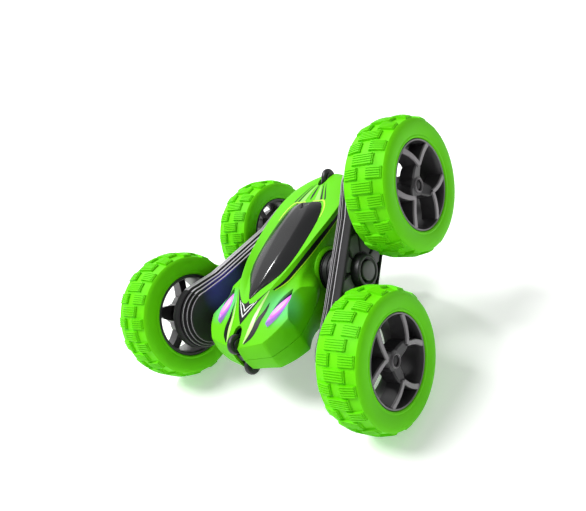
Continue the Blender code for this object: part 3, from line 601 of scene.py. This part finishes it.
# One side of the upper shell, nose to tail. Each station runs from the seam up the side to the top
# crease, the valley, the rail's crest, the canopy's surround and the middle line.
STATIONS = [
    [(20.5, -62, 0), (20.6, -61.8, 5), (19.8, -61, 9.8), (9, -63.6, 8.9), (6.2, -64.2, 8.9),
     (4.6, -64.8, 8.5), (3.2, -65.3, 8.2), (0, -65.6, 8)],
    [(26.4, -54.6, 0), (26.7, -54.4, 6), (25.8, -53.8, 11.3), (13.4, -55.5, 11.6), (6.6, -56, 11.9),
     (4.4, -56.5, 12), (2.5, -57, 12), (0, -57, 12)],
    [(30.3, -46.6, 0), (30.1, -46.3, 6.4), (29.3, -45.8, 12.2), (14.4, -46.5, 12.9), (6.5, -48, 14.9),
     (4.4, -48.5, 15.2), (2.6, -48.5, 15.3), (0, -48.5, 15.3)],
    [(30, -38, 0), (28.2, -38, 7.2), (24.4, -38, 13.8), (15.6, -38, 14.2), (10, -38.5, 18.1),
     (7.5, -39, 18.3), (5, -39, 18.1), (0, -39, 18.1)],
    [(29.2, -30, 0), (27.6, -30.5, 7.6), (23.4, -31.5, 14.5), (17.2, -31, 15.4), (12.9, -31, 19.8),
     (10, -31, 19.3), (7.4, -31, 18.4), (0, -31, 18.6)],
    [(28, -23, 0), (31, -19, 9), (26.2, -26.5, 14.4), (18.8, -25, 16.4), (15.7, -24, 20.6),
     (13.4, -23.5, 19.8), (11.8, -23, 18.6), (0, -23, 19)],
    [(24, -13, 0), (26.4, -13, 6.2), (22.8, -20, 15.2), (20.6, -17, 17), (18.9, -14.5, 21.5),
     (16.6, -14, 20.3), (14.4, -13.5, 19.4), (0, -13, 19.8)],
    [(21.5, -5, 0), (22.2, -6, 6.5), (22.6, -8, 13.5), (22.4, -5, 17.2), (21.3, -4, 22),
     (18.4, -4, 20.9), (15.9, -4, 20.1), (0, -4, 20.6)],
    [(22, 8, 0), (22.8, 8, 6.8), (23.4, 8, 13.4), (23.5, 8, 17.1), (23.1, 8, 22.3),
     (19.6, 8, 21.7), (16.2, 8, 21.1), (0, 8, 21.4)],
    [(22.4, 21, 0), (23.8, 21, 6.8), (24.6, 21, 13.4), (24.5, 21, 17.1), (24.9, 21, 22.3),
     (20.4, 21, 22), (15.4, 21, 21.7), (0, 21, 22)],
    [(22.5, 33, 0), (24.4, 33, 7), (25.2, 33, 13.5), (24.9, 33, 17.3), (25.5, 33, 22.3),
     (20, 33, 22.6), (11.4, 33, 22.9), (0, 33, 22.8)],
    [(21.6, 43, 0), (23.6, 43, 6.8), (24.4, 43, 13.2), (24, 43, 17.6), (23.8, 43, 22.6),
     (18.6, 43, 23.6), (9, 43, 23.9), (0, 43, 23.6)],
    [(18.6, 51.5, 0), (20.4, 51.5, 6.6), (20.8, 51.5, 12.8), (20.2, 51.5, 17.4), (19.6, 51.5, 22.6),
     (15.4, 51.5, 23.9), (8, 51.5, 24.2), (0, 51.5, 23.9)],
    [(14.2, 58, 0), (15.4, 58, 6.2), (15.6, 57.8, 12.2), (15, 57.6, 16.8), (14.4, 57.4, 21.8),
     (11.6, 57.6, 23.2), (6.4, 57.8, 23.6), (0, 58, 23.4)],
    [(9.4, 63.6, 0), (10, 63.2, 5.6), (10.3, 62.8, 11.4), (10.2, 62.5, 15.8), (10, 62.2, 19.8),
     (8.2, 62.3, 21.2), (4.8, 62.6, 21.9), (0, 62.8, 22)],
]
LENGTHWISE_CREASES = {2: 0.9, 3: 0.35, 4: 0.8, 6: 0.5}
CROSS_CREASES = {0: 0.6, 2: 0.8, 5: 0.7}
FRONT_BULGE = 1.0
SHELL_WALL = 1.4
SEAM_HALF_GAP = 0.12


def upper_sign(label):
    return 1 if label == "upper" else -1


def shell_cage(label):
    """The coarse cage of one shell, open along the seam, with a flat panel across the nose."""
    shape = bmesh.new()
    crease = shape.edges.layers.float.new("crease_edge")
    sign = upper_sign(label)

    def mark(one, two, weight):
        shape.edges.get((one, two))[crease] = weight

    rows = []
    for station in STATIONS:
        side = [(x, y, sign * max(z, SEAM_HALF_GAP)) for x, y, z in station]
        rows.append(side + [(-x, y, z) for x, y, z in reversed(side[:-1])])
    made = grid_faces(shape, rows)
    for one, two in zip(made, made[1:]):
        for column, weight in LENGTHWISE_CREASES.items():
            mark(one[column], two[column], weight)
            mark(one[-1 - column], two[-1 - column], weight)
    for row, weight in CROSS_CREASES.items():
        for flank in (made[row], made[row][::-1]):
            mark(flank[0], flank[1], weight)
            mark(flank[1], flank[2], weight)

    # The nose panel hangs from the front edge of the hood down to the seam
    front = made[0]
    top = front[2:-2]
    middle, seam = [front[1]], [front[0]]
    for vertex in top[1:-1]:
        x, y, z = vertex.co
        middle.append(shape.verts.new((x, y - 0.7 * FRONT_BULGE, z * 0.52)))
        seam.append(shape.verts.new((x, y - FRONT_BULGE, sign * SEAM_HALF_GAP)))
    middle.append(front[-2])
    seam.append(front[-1])
    for upper, lower in ((top, middle), (middle, seam)):
        for k in range(len(upper) - 1):
            shape.faces.new((upper[k], upper[k + 1], lower[k + 1], lower[k]))
    shape.faces.new(made[-1])
    for edge, weight in ((top, 0.75), (made[-1], 0.6)):
        for one, two in zip(edge, edge[1:]):
            mark(one, two, weight)
    return shape


def evaluated_mesh(made):
    bpy.context.view_layer.update()
    graph = bpy.context.evaluated_depsgraph_get()
    return bpy.data.meshes.new_from_object(made.evaluated_get(graph))


def helper(name, shape):
    """A cutter in the body's frame, removed once it has cut."""
    bmesh.ops.recalc_face_normals(shape, faces=shape.faces)
    return add_object(name, mesh_of(name, shape))


LENS_HALF_LENGTH = 12.0
LENS_HALF_WIDTH = 3.2
LENS_PLACE = (20.6, -40.2, 13.2)
LENS_TURN = math.radians(10.5)
LENS_TILT = math.radians(4.0)
NOTCHES = {
    "nose": [(3.05, -80), (3.05, -58), (2.5, -55.4), (1.2, -54), (0, -53.6)],
    "tail": [(3.05, 80), (3.05, 53.6), (2.4, 51.2), (1.2, 49.8), (0, 49.4)],
}


def lens_outline(grow):
    """A long spindle, pointed at both ends."""
    points = []
    for side in (1, -1):
        for k in range(16):
            part = k / 16
            reach = side * (1 - 2 * part) * (LENS_HALF_LENGTH + grow * 2)
            swell = math.sin(math.pi * part) ** 0.9
            points.append((side * swell * (LENS_HALF_WIDTH + grow), reach))
    return points


def lens_frame(label, hand):
    side, sign = HANDS[hand], upper_sign(label)
    x, y, z = LENS_PLACE
    place = Matrix.Translation(Vector((side * x, y, sign * z)) * MM)
    return place @ Matrix.Rotation(-side * LENS_TURN, 4, "Z") @ Matrix.Rotation(-sign * LENS_TILT, 4, "X")


SWITCH_SLOT = [(-7.9, 39.6), (-1.1, 39.6), (-1.1, 42.4), (-7.9, 42.4)]
ROUND_OPENINGS = {
    "socket": (5.6, 41.0, 2.5), "screw_nose": (0.0, -43.5, 2.8), "screw_left": (14.5, 45.5, 2.8),
    "screw_right": (-14.5, 45.5, 2.8),
}


def underside_openings():
    """The switch's slot, the charge socket's port and the screws' wells: cutters' names and outlines."""
    yield "switch", SWITCH_SLOT
    for name, (x, y, radius) in ROUND_OPENINGS.items():
        yield name, circle(radius, 28, (x, y))


def build_shell(label):
    """One half of the body: subdivided cage, given its wall, then cut for the rollers and lamps."""
    shape = shell_cage(label)
    bmesh.ops.recalc_face_normals(shape, faces=shape.faces)
    if sum(face.normal.z for face in shape.faces) * upper_sign(label) < 0:
        bmesh.ops.reverse_faces(shape, faces=shape.faces)
    made = add_object(f"shell_{label}", mesh_of(f"shell_{label}", shape))
    soft = made.modifiers.new("soft", "SUBSURF")
    soft.levels = soft.render_levels = 3
    skin = evaluated_mesh(made)
    tree = BVHTree.FromPolygons(
        [vertex.co / MM for vertex in skin.vertices], [tuple(face.vertices) for face in skin.polygons])
    bpy.data.meshes.remove(skin)
    wall = made.modifiers.new("wall", "SOLIDIFY")
    wall.thickness = SHELL_WALL * MM
    wall.offset = -1.0
    cutters = []
    for end, half in NOTCHES.items():
        outline = half + [(-x, y) for x, y in reversed(half[:-1])]
        cut = loft(bmesh.new(), [[(x, y, z) for x, y in outline] for z in (-40, 40)])
        cutters.append((helper(f"{end}_cut_{label}", cut), "FAST"))
    bore = disc(bmesh.new(), [(-60.0, BARREL_RADIUS + 0.4), (60.0, BARREL_RADIUS + 0.4)], 48)
    cutters.append((helper(f"barrel_cut_{label}", bore), "EXACT"))
    for hand in HANDS:
        cut = loft(bmesh.new(), [[(x, y, z) for x, y in lens_outline(0.2)] for z in (-7.0, 7.0)])
        cutter = helper(f"lens_cut_{label}_{hand}", cut)
        cutter.matrix_world = lens_frame(label, hand)
        cutters.append((cutter, "EXACT"))
    if label == "lower":
        for name, outline in underside_openings():
            cut = loft(bmesh.new(), [[(x, y, z) for x, y in outline] for z in (-30.0, -9.0)])
            cutters.append((helper(f"{name}_cut", cut), "EXACT"))
    for cutter, solver in cutters:
        boolean = made.modifiers.new(cutter.name, "BOOLEAN")
        boolean.operation = "DIFFERENCE"
        boolean.object = cutter
        boolean.solver = solver
    final = evaluated_mesh(made)
    bpy.data.objects.remove(made)
    for cutter, solver in cutters:
        bpy.data.objects.remove(cutter)
    final.materials.clear()
    finish_piece(f"body_shell_{label}", final, BODY_FRAME, [shell_green], "chassis", f"{label}_shell",
                 26)
    return tree


def paint_lamp_glow(made, colour, reach, strength, behind=0.0):
    """Paints the lamps' light into a finish's colour: a painted glow round the four lamps, fading with
    distance, where their light would fall on it.
    """
    links, nodes = made.node_tree.links, made.node_tree.nodes
    shader = nodes["Principled BSDF"]
    plain = shader.inputs["Base Color"].links[0].from_socket
    place = nodes.new("ShaderNodeTexCoord").outputs["Object"]
    nearest = None
    for label in ("upper", "lower"):
        for hand in HANDS:
            measure = nodes.new("ShaderNodeVectorMath")
            measure.operation = "DISTANCE"
            spot = lens_frame(label, hand).translation + Vector((0, behind * MM, 0))
            measure.inputs[1].default_value = BODY_FRAME @ spot
            links.new(place, measure.inputs[0])
            if nearest is None:
                nearest = measure.outputs["Value"]
                continue
            closer = nodes.new("ShaderNodeMath")
            closer.operation = "MINIMUM"
            links.new(nearest, closer.inputs[0])
            links.new(measure.outputs["Value"], closer.inputs[1])
            nearest = closer.outputs["Value"]
    glow_share = nodes.new("ShaderNodeMapRange")
    glow_share.interpolation_type = "SMOOTHSTEP"
    glow_share.inputs["From Min"].default_value = reach[0] * MM
    glow_share.inputs["From Max"].default_value = reach[1] * MM
    glow_share.inputs["To Min"].default_value = strength
    glow_share.inputs["To Max"].default_value = 0.0
    links.new(nearest, glow_share.inputs["Value"])
    mix = nodes.new("ShaderNodeMix")
    mix.data_type = "RGBA"
    colour_in = [socket for socket in mix.inputs if socket.type == "RGBA"]
    colour_in[1].default_value = (*colour, 1)
    links.new(glow_share.outputs["Result"], mix.inputs["Factor"])
    links.new(plain, colour_in[0])
    links.new([socket for socket in mix.outputs if socket.type == "RGBA"][0], shader.inputs["Base Color"])


def build_arches():
    """The raised rim of the body round each pivot barrel, and the grooved barrel."""
    for hand, side in HANDS.items():
        shape = bmesh.new()
        turned(shape, [(20, 11.3), (24.4, 11.3), (24.8, 11.7), (24.9, 12.4), (24.6, 13.1), (24, 13.8),
                       (20, 14.2)], 64)
        place = BODY_FRAME if side == 1 else BODY_FRAME @ Matrix.Rotation(math.pi, 4, "Z")
        piece(f"arch_{hand}", shape, place, [shell_green], "chassis", None, 30)
        shape = bmesh.new()
        turned(shape, [(17.5, 7.8), (33, 7.8), (33.2, 8.2), (33.2, 10.4), (32.6, 11), (30.4, 11),
                       (30.2, 10.4), (29.4, 10.4), (29.2, 11), (26.6, 11), (26.4, 10.4), (25.8, 10.4),
                       (25.6, 11), (17.5, 11)], 56)
        node = f"pivot_barrel_{hand}"
        piece(f"barrel_{hand}", shape, place, [trim_black], "chassis", node, 30)


# ---- Graphics on the shells ----


def along(points, part):
    """A point on a smooth curve through the given ones."""
    span = part * (len(points) - 1)
    k = min(int(span), len(points) - 2)
    t = span - k
    p1, p2 = Vector(points[k]), Vector(points[k + 1])
    p0 = Vector(points[k - 1]) if k else p1 * 2 - p2
    p3 = Vector(points[k + 2]) if k + 2 < len(points) else p2 * 2 - p1
    return 0.5 * (2 * p1 + (p2 - p0) * t + (2 * p0 - 5 * p1 + 4 * p2 - p3) * t * t
                  + (3 * p1 - p0 - 3 * p2 + p3) * t * t * t)


STRIP_STEPS = 40
STRIP_LANES = 6


def strip(shape, tree, sign, side, one, two, lift):
    """A patch between two edges, laid on the shell; the edges are given for the upper left side."""
    rows = []
    for k in range(STRIP_STEPS + 1):
        low, high = along(one, k / STRIP_STEPS), along(two, k / STRIP_STEPS)
        row = []
        for lane in range(STRIP_LANES + 1):
            spot = low.lerp(high, lane / STRIP_LANES)
            spot = Vector((spot.x * side, spot.y, spot.z * sign))
            place, normal = tree.find_nearest(spot)[:2]
            row.append(place + normal * lift)
        rows.append(row)
    grid_faces(shape, rows)


# Each graphic is two edges of (x, y, z) near the surface.
BLACK_GRAPHICS = [
    # The emblem before the canopy: one arm of its V
    ([(0, -53.2, 13.4), (3.4, -48.2, 15.4), (7, -41.6, 17.6), (9.6, -37, 19), (12, -33.2, 19.9)],
     [(0, -40, 18.1), (1.4, -41.6, 17.6), (4.6, -41, 17.8), (8.4, -37.2, 18.8), (11.8, -33, 19.9)]),
    # The crescent in the valley beside the hood's ridge
    ([(13.4, -39, 15.6), (11.6, -44, 13.8), (9.8, -49, 13.2), (9, -54, 12.2), (8.2, -58.4, 10.8),
      (6.6, -62.4, 9.2)],
     [(13.6, -39, 15.4), (13.3, -44, 13.4), (12.6, -49, 13), (12.4, -54, 12.2), (10.8, -59, 10.6),
      (7, -62.8, 9.2)]),
    # The long stripe under the rail
    ([(13.4, -32.4, 18.6), (17, -25.6, 18.6), (19.9, -16.6, 19.4), (21.7, -6, 20), (23.2, 6, 20),
      (24.6, 20, 19.4), (25.2, 33, 19), (24.2, 43, 18.8)],
     [(14, -32.2, 17.9), (17.9, -25.2, 17.2), (20.3, -16.8, 17.5), (22.2, -6, 17.5), (23.4, 6, 17.4),
      (24.5, 20, 17.5), (25, 33, 17.8), (24.1, 43, 18.5)]),
    # Behind the canopy: the outer slash and half of the middle stripe
    ([(10.4, 34.4, 23), (8, 40, 23.6), (5.4, 46, 24), (3.2, 51, 24)],
     [(8.8, 34.2, 23), (6.8, 40, 23.6), (4.6, 46, 24), (3, 51, 24)]),
    ([(0, 37, 23), (0, 40, 23.4), (0, 44, 23.8), (0, 50, 24)],
     [(0.3, 37, 23), (0.8, 40, 23.4), (0.7, 44, 23.8), (0.1, 50, 24)]),
    ([(12.4, 36, 23), (11, 39, 23.2), (8.4, 44, 23.8), (5.4, 50, 24)],
     [(11.4, 35.6, 23), (10, 39, 23.2), (7.7, 44, 23.8), (5.2, 50, 24)]),
]
PALE_GRAPHICS = [
    # The slat along the outer side of the hood's ridge
    ([(12.1, -33.4, 19.2), (9.9, -39.4, 17.2), (7.6, -47, 14.6), (6.6, -55, 12.3), (6.1, -62.4, 9.3)],
     [(12.3, -34, 18.8), (10.7, -39.8, 16.4), (9.2, -47, 14), (8.9, -55, 12), (6.5, -62.4, 9.3)]),
]
MINT_GRAPHICS = [
    # The wing behind the canopy
    ([(8.2, 34.6, 23), (6.4, 39.6, 23.5), (4.2, 45, 24), (1.8, 49.6, 24)],
     [(4, 34.6, 23), (3.4, 39.6, 23.4), (2.5, 45, 23.8), (1.5, 49.6, 24)]),
]
YELLOW_GRAPHICS = [
    # A bright line under the black stripe
    ([(14.2, -32, 17.7), (18.1, -25, 17), (20.4, -16.8, 17.3), (22.3, -6, 17.3), (23.4, 6, 17.2),
      (24.5, 20, 17.3), (25, 33, 17.6)],
     [(14.4, -32, 17.5), (18.3, -25, 16.6), (20.5, -16.8, 16.9), (22.4, -6, 16.9), (23.4, 6, 16.8),
      (24.5, 20, 16.9), (25, 33, 17.4)]),
    # The trim round the back of the canopy
    ([(15.8, 21, 21.8), (15, 27, 22.2), (13.2, 31.8, 22.7), (10.6, 34.6, 23), (6, 34.6, 23),
      (3.2, 34.4, 23), (0, 28.4, 22.7)],
     [(16.5, 21, 21.8), (15.8, 27.6, 22.2), (13.9, 32.6, 22.8), (11, 35.5, 23.1), (6, 35.4, 23.1),
      (2.8, 35.4, 23), (0, 30.2, 22.8)]),
]
WHITE_GRAPHICS = [
    # Two thin chevrons on the emblem
    ([(0, -49.6, 14.8), (3, -45.6, 16.2), (6.6, -40.2, 18)],
     [(0, -48.6, 15.2), (2.7, -45, 16.4), (6.4, -40, 18)]),
    ([(0, -46.4, 16), (2.4, -43.4, 17), (5, -41.4, 17.7)],
     [(0, -45.4, 16.2), (2.2, -42.8, 17.2), (4.9, -41.2, 17.7)]),
]
# The lower side has its switch and socket where the upper one has stripes behind the canopy
TAIL_STRIPES_START = 34.0


def build_graphics(label, tree):
    sign = upper_sign(label)
    sets = (("black", BLACK_GRAPHICS, graphic_black, 0.09), ("pale", PALE_GRAPHICS, graphic_pale, 0.11),
            ("mint", MINT_GRAPHICS, graphic_mint, 0.10), ("yellow", YELLOW_GRAPHICS, graphic_yellow, 0.13),
            ("white", WHITE_GRAPHICS, graphic_white, 0.15))
    for tone, graphics, finish, lift in sets:
        drawn = [pair for pair in graphics if label == "upper" or pair[0][0][1] < TAIL_STRIPES_START]
        if not drawn:
            continue
        shape = bmesh.new()
        for one, two in drawn:
            for side in (1, -1):
                strip(shape, tree, sign, side, one, two, lift)
        for face in shape.faces:
            face.normal_update()
            if face.normal.z * sign < 0:
                face.normal_flip()
        name = f"graphics_{tone}_{label}"
        finish_piece(name, mesh_of(name, shape), BODY_FRAME, [finish], "chassis", None, 60)


# ---- Rollers ----


ROLLER_HALF_WIDTH = 1.65
PIN_RADIUS = 1.1
BRACKET_REACH = 11.0
EAR_RADIUS = 3.0
CHEEK_INNER = 1.95
CHEEK_OUTER = 2.75


def build_rollers():
    """Two rollers at the nose and two at the tail, on the pins of a bracket with two cheeks."""
    for end, sign in (("nose", -1), ("tail", 1)):
        for half in ("upper", "lower"):
            shape = bmesh.new()
            half_profile = [(ROLLER_HALF_WIDTH, 1.3), (ROLLER_HALF_WIDTH, 4), (1.5, 4.8), (0.95, 5.25)]
            profile = [(-x, radius) for x, radius in half_profile]
            turned(shape, profile + [(0, 5.4)] + half_profile[::-1], 40)
            node = f"{end}_roller_{half}"
            place = Matrix.Translation(joint_place(f"{node}_spin") - CENTRE) @ AXIS_FRAME
            piece(f"roller_{end}_{half}", shape, place, [trim_black], node, node, 40)
        inverse = BODY_FRAME.inverted()
        spots = [(inverse @ joint_place(f"{end}_roller_{half}_spin")) / MM for half in ("upper", "lower")]
        shape = bmesh.new()
        back = spots[0].y - sign * BRACKET_REACH
        for side in (1, -1):
            ring = []
            for spot, first in zip(spots, (110, 66)):
                turns = [math.radians(first - 22 * k) for k in range(9)]
                ring += [(spot.y + sign * EAR_RADIUS * math.cos(turn), spot.z + EAR_RADIUS * math.sin(turn))
                         for turn in turns]
            ring += [(back, spots[1].z + EAR_RADIUS), (back, spots[0].z - EAR_RADIUS)]
            low, high = sorted((side * CHEEK_INNER, side * CHEEK_OUTER))
            loft(shape, [[(x, y, z) for y, z in ring] for x in (low, high)])
        low, high = sorted((back, spots[0].y + sign * 2.4))
        block(shape, (-CHEEK_OUTER, low, -2.2), (CHEEK_OUTER, high, 2.2))
        for spot in spots:
            disc(shape, [(-CHEEK_OUTER, PIN_RADIUS), (CHEEK_OUTER, PIN_RADIUS)], 20, (spot.y, spot.z))
        name = f"roller_bracket_{end}"
        piece(name, shape, BODY_FRAME, [trim_black], "chassis", f"{end}_bumper", 35)


# ---- Canopy ----

# y, half width at the rim, rim height, half width of the flat roof and its height
CANOPY = [
    (-38.8, 0.3, 18, 0.2, 18.2), (-36, 2.4, 18, 1.5, 18.8), (-32, 4.9, 18.1, 2.6, 19.6),
    (-27.6, 8, 18.3, 3.4, 20.3), (-21.1, 12.2, 18.7, 3.9, 21.3), (-14.4, 14.3, 19.3, 4.7, 22.2),
    (-6.6, 15.5, 19.9, 5.3, 22.9), (2, 16.1, 20.5, 6, 23.6), (10, 16.1, 21.1, 6.3, 24.4),
    (18, 15.7, 21.6, 6, 24.9), (25.5, 14.3, 22.2, 5, 25.2), (30, 12.6, 22.6, 4.2, 25),
    (32.6, 10.9, 22.8, 3.6, 24.6), (33.9, 9.4, 22.9, 3, 24),
]
# The notch in the middle of the canopy's back
NOTCH_DEPTH = 6.5
NOTCH_HALF_WIDTH = 3.6
NOTCH_START = 25.0
NOTCH_REACH = 9.0
CREST_ROUNDING = 0.8


def build_canopy(label):
    """A faceted hood of dark glass: a flat roof, two sloping sides and a notch at its back."""
    shape = bmesh.new()
    sign = upper_sign(label)
    rings = []
    for y, half, rim, roof, top in CANOPY:
        rise = top - rim
        side = [(half, rim - 1.6), (half, rim + 0.1), (half - 0.25, rim + 0.3)]
        for part in (0.35, 0.7):
            swell = part + 0.06 * math.sin(math.pi * part)
            side.append((half + (roof - half) * part, rim + 0.3 + (rise - 0.3) * swell))
        crest, inner = Vector((roof, top)), Vector((roof * 0.3, top + 0.06))
        width = min(CREST_ROUNDING, roof * 0.35)
        start = crest.lerp(Vector(side[-1]), width / (Vector(side[-1]) - crest).length)
        stop = crest.lerp(inner, width / (inner - crest).length)
        for part in (0.0, 0.34, 0.67, 1.0):
            side.append(tuple(start.lerp(crest, part).lerp(crest.lerp(stop, part), part)))
        side += [tuple(inner), (0.0, top + 0.07)]
        ring = side + [(-x, z) for x, z in reversed(side[:-1])]
        pull = max(0.0, (y - NOTCH_START) / NOTCH_REACH) * NOTCH_DEPTH
        rings.append([(x, y - pull * max(0.0, 1 - abs(x) / NOTCH_HALF_WIDTH), sign * z) for x, z in ring])
    loft(shape, rings)
    piece(f"canopy_glass_{label}", shape, BODY_FRAME, [canopy_black], "chassis", f"canopy_{label}",
          8)


# ---- Lamps ----


def build_lamps(label):
    """The two lamp lenses of one side."""
    sign = upper_sign(label)
    for hand in HANDS:
        levels = ((0.0, -3.0), (0.0, 0.0), (-0.2, 0.3), (-1.1, 0.65), (-2.3, 0.85))
        rings = [[(x, y, sign * z) for x, y in lens_outline(grow)] for grow, z in levels]
        shape = loft(bmesh.new(), rings)
        bmesh.ops.recalc_face_normals(shape, faces=shape.faces)
        name = f"lamp_{label}_{hand}"
        mesh = mesh_of(name, shape)
        mark_distance(mesh)
        finish_piece(name, mesh, BODY_FRAME @ lens_frame(label, hand), [lens_violet], "chassis",
                     f"headlight_{label}_{hand}", 40)


def mark_distance(mesh):
    """Stores how far each point lies from the lens's middle towards its edge, for its colour."""
    layer = mesh.attributes.new("edge_share", "FLOAT", "POINT")
    for point, vertex in zip(layer.data, mesh.vertices):
        across = vertex.co.x / (LENS_HALF_WIDTH * MM)
        lengthwise = vertex.co.y / (LENS_HALF_LENGTH * MM)
        point.value = min(1.0, math.hypot(across, lengthwise))


# ---- Camera, light and floor ----

CAMERA_AZIMUTH = math.radians(42.82)
CAMERA_ELEVATION = math.radians(32.52)
CAMERA_ROLL = math.radians(-14.17)
CAMERA_DISTANCE = 373.46
AIM = (-1.7, 16.8, -8.37)
CAMERA_LENS = 38.82041
FLOOR_REACH = 3.0


def build_camera():
    """A camera that looks down on the car's front left corner, rolled to one side."""
    az, el = CAMERA_AZIMUTH, CAMERA_ELEVATION
    back = Vector((math.sin(az) * math.cos(el), -math.cos(az) * math.cos(el), math.sin(el)))
    right = Vector((math.cos(az), math.sin(az), 0))
    up = back.cross(right)
    target = right * AIM[0] + up * AIM[1] + Vector((0, 0, AIM[2]))
    rolled_right = right * math.cos(CAMERA_ROLL) + up * math.sin(CAMERA_ROLL)
    rolled_up = up * math.cos(CAMERA_ROLL) - right * math.sin(CAMERA_ROLL)
    turn = Matrix((rolled_right, rolled_up, back)).transposed().to_4x4()
    data = bpy.data.cameras.new("camera")
    data.sensor_width = 36.0
    data.lens = CAMERA_LENS
    data.clip_start = 0.01
    camera = add_object("camera", data)
    camera.matrix_world = Matrix.Translation(CENTRE + (target + back * CAMERA_DISTANCE) * MM) @ turn
    bpy.context.scene.camera = camera


def build_lights():
    """A broad sun from the front right and a small lamp whose reflection runs along the canopy's crest."""
    sun = bpy.data.lights.new("key", "SUN")
    sun.energy = 3.1
    sun.angle = math.radians(24)
    key = add_object("key", sun)
    key.rotation_euler = Vector((0.46, 0.34, -0.82)).to_track_quat("-Z", "Y").to_euler()
    lamp = bpy.data.lights.new("glint", "AREA")
    lamp.shape = "DISK"
    lamp.size = 0.07
    lamp.energy = 2.2
    glint = add_object("glint", lamp)
    glint.location = CENTRE + Vector((-0.580, 0.106, 0.5545))
    glint.rotation_euler = (CENTRE - glint.location).to_track_quat("-Z", "Y").to_euler()


def build_stage():
    """A white floor and a studio world, brighter to the rear right."""
    shape = bmesh.new()
    reach = FLOOR_REACH / MM
    grid_faces(shape, [[(-reach, -reach, 0), (reach, -reach, 0)], [(-reach, reach, 0), (reach, reach, 0)]])
    floor = add_object("floor", mesh_of("floor", shape))
    made, _, shader = shader_of("floor_white")
    shader.inputs["Base Color"].default_value = (0.9, 0.9, 0.9, 1)
    shader.inputs["Roughness"].default_value = 0.7
    shader.inputs["Emission Color"].default_value = (1, 1, 1, 1)
    shader.inputs["Emission Strength"].default_value = 0.30
    floor.data.materials.append(made)
    world = bpy.data.worlds.new("studio")
    bpy.context.scene.world = world
    world.use_nodes = True
    links, nodes = world.node_tree.links, world.node_tree.nodes
    direction = nodes.new("ShaderNodeTexCoord")
    towards = nodes.new("ShaderNodeVectorMath")
    towards.operation = "DOT_PRODUCT"
    towards.inputs[1].default_value = Vector((-0.84, 0.46, 0.28)).normalized()
    links.new(direction.outputs["Generated"], towards.inputs[0])
    ends = ((0.80, (0.30, 0.30, 0.30)), (0.97, (1, 1, 1)))
    glow = colour_ramp(world.node_tree, towards.outputs["Value"], *ends)
    glow.color_ramp.interpolation = "EASE"
    links.new(glow.outputs["Color"], nodes["Background"].inputs["Color"])
    nodes["Background"].inputs["Strength"].default_value = 1.25


bpy.context.scene.view_settings.view_transform = "Standard"
build_camera()
build_stage()
build_lights()
build_wheels()
# Painted lamp light: a turquoise glow painted into the shell's green round the lamps
paint_lamp_glow(shell_green, (0.12, 0.64, 0.30), (4.0, 14.0), 0.55)
# Painted lamp light: a violet glow painted onto the arm's grey near the lamps, centred a little behind each
# lamp
paint_lamp_glow(arm_painted_lamp_glow, (0.07, 0.04, 0.42), (13.0, 24.0), 1.0, 15.0)
for hand_name in HANDS:
    build_arm(hand_name)
for half in ("upper", "lower"):
    build_graphics(half, build_shell(half))
    build_canopy(half)
    build_lamps(half)
build_arches()
build_rollers()

# ---- Pieces that keep their CAD shape ----

CAD_FINISHES = {
    "battery": battery_wrap, "circuit_board": board_green, "light_board": board_green,
    "gear_motor": motor_metal, "axle_gear": nylon, "drive_gear": nylon, "idler_gear": nylon,
    "idler_pin": steel, "body_screw": steel, "switch": trim_black, "charge_socket": trim_black,
    "nose": trim_black, "tail": trim_black,
}
for node_name, node in frame["nodes"].items():
    for prefix, finish in CAD_FINISHES.items():
        if node_name.startswith(prefix):
            for place in node.material_slots:
                place.material = finish
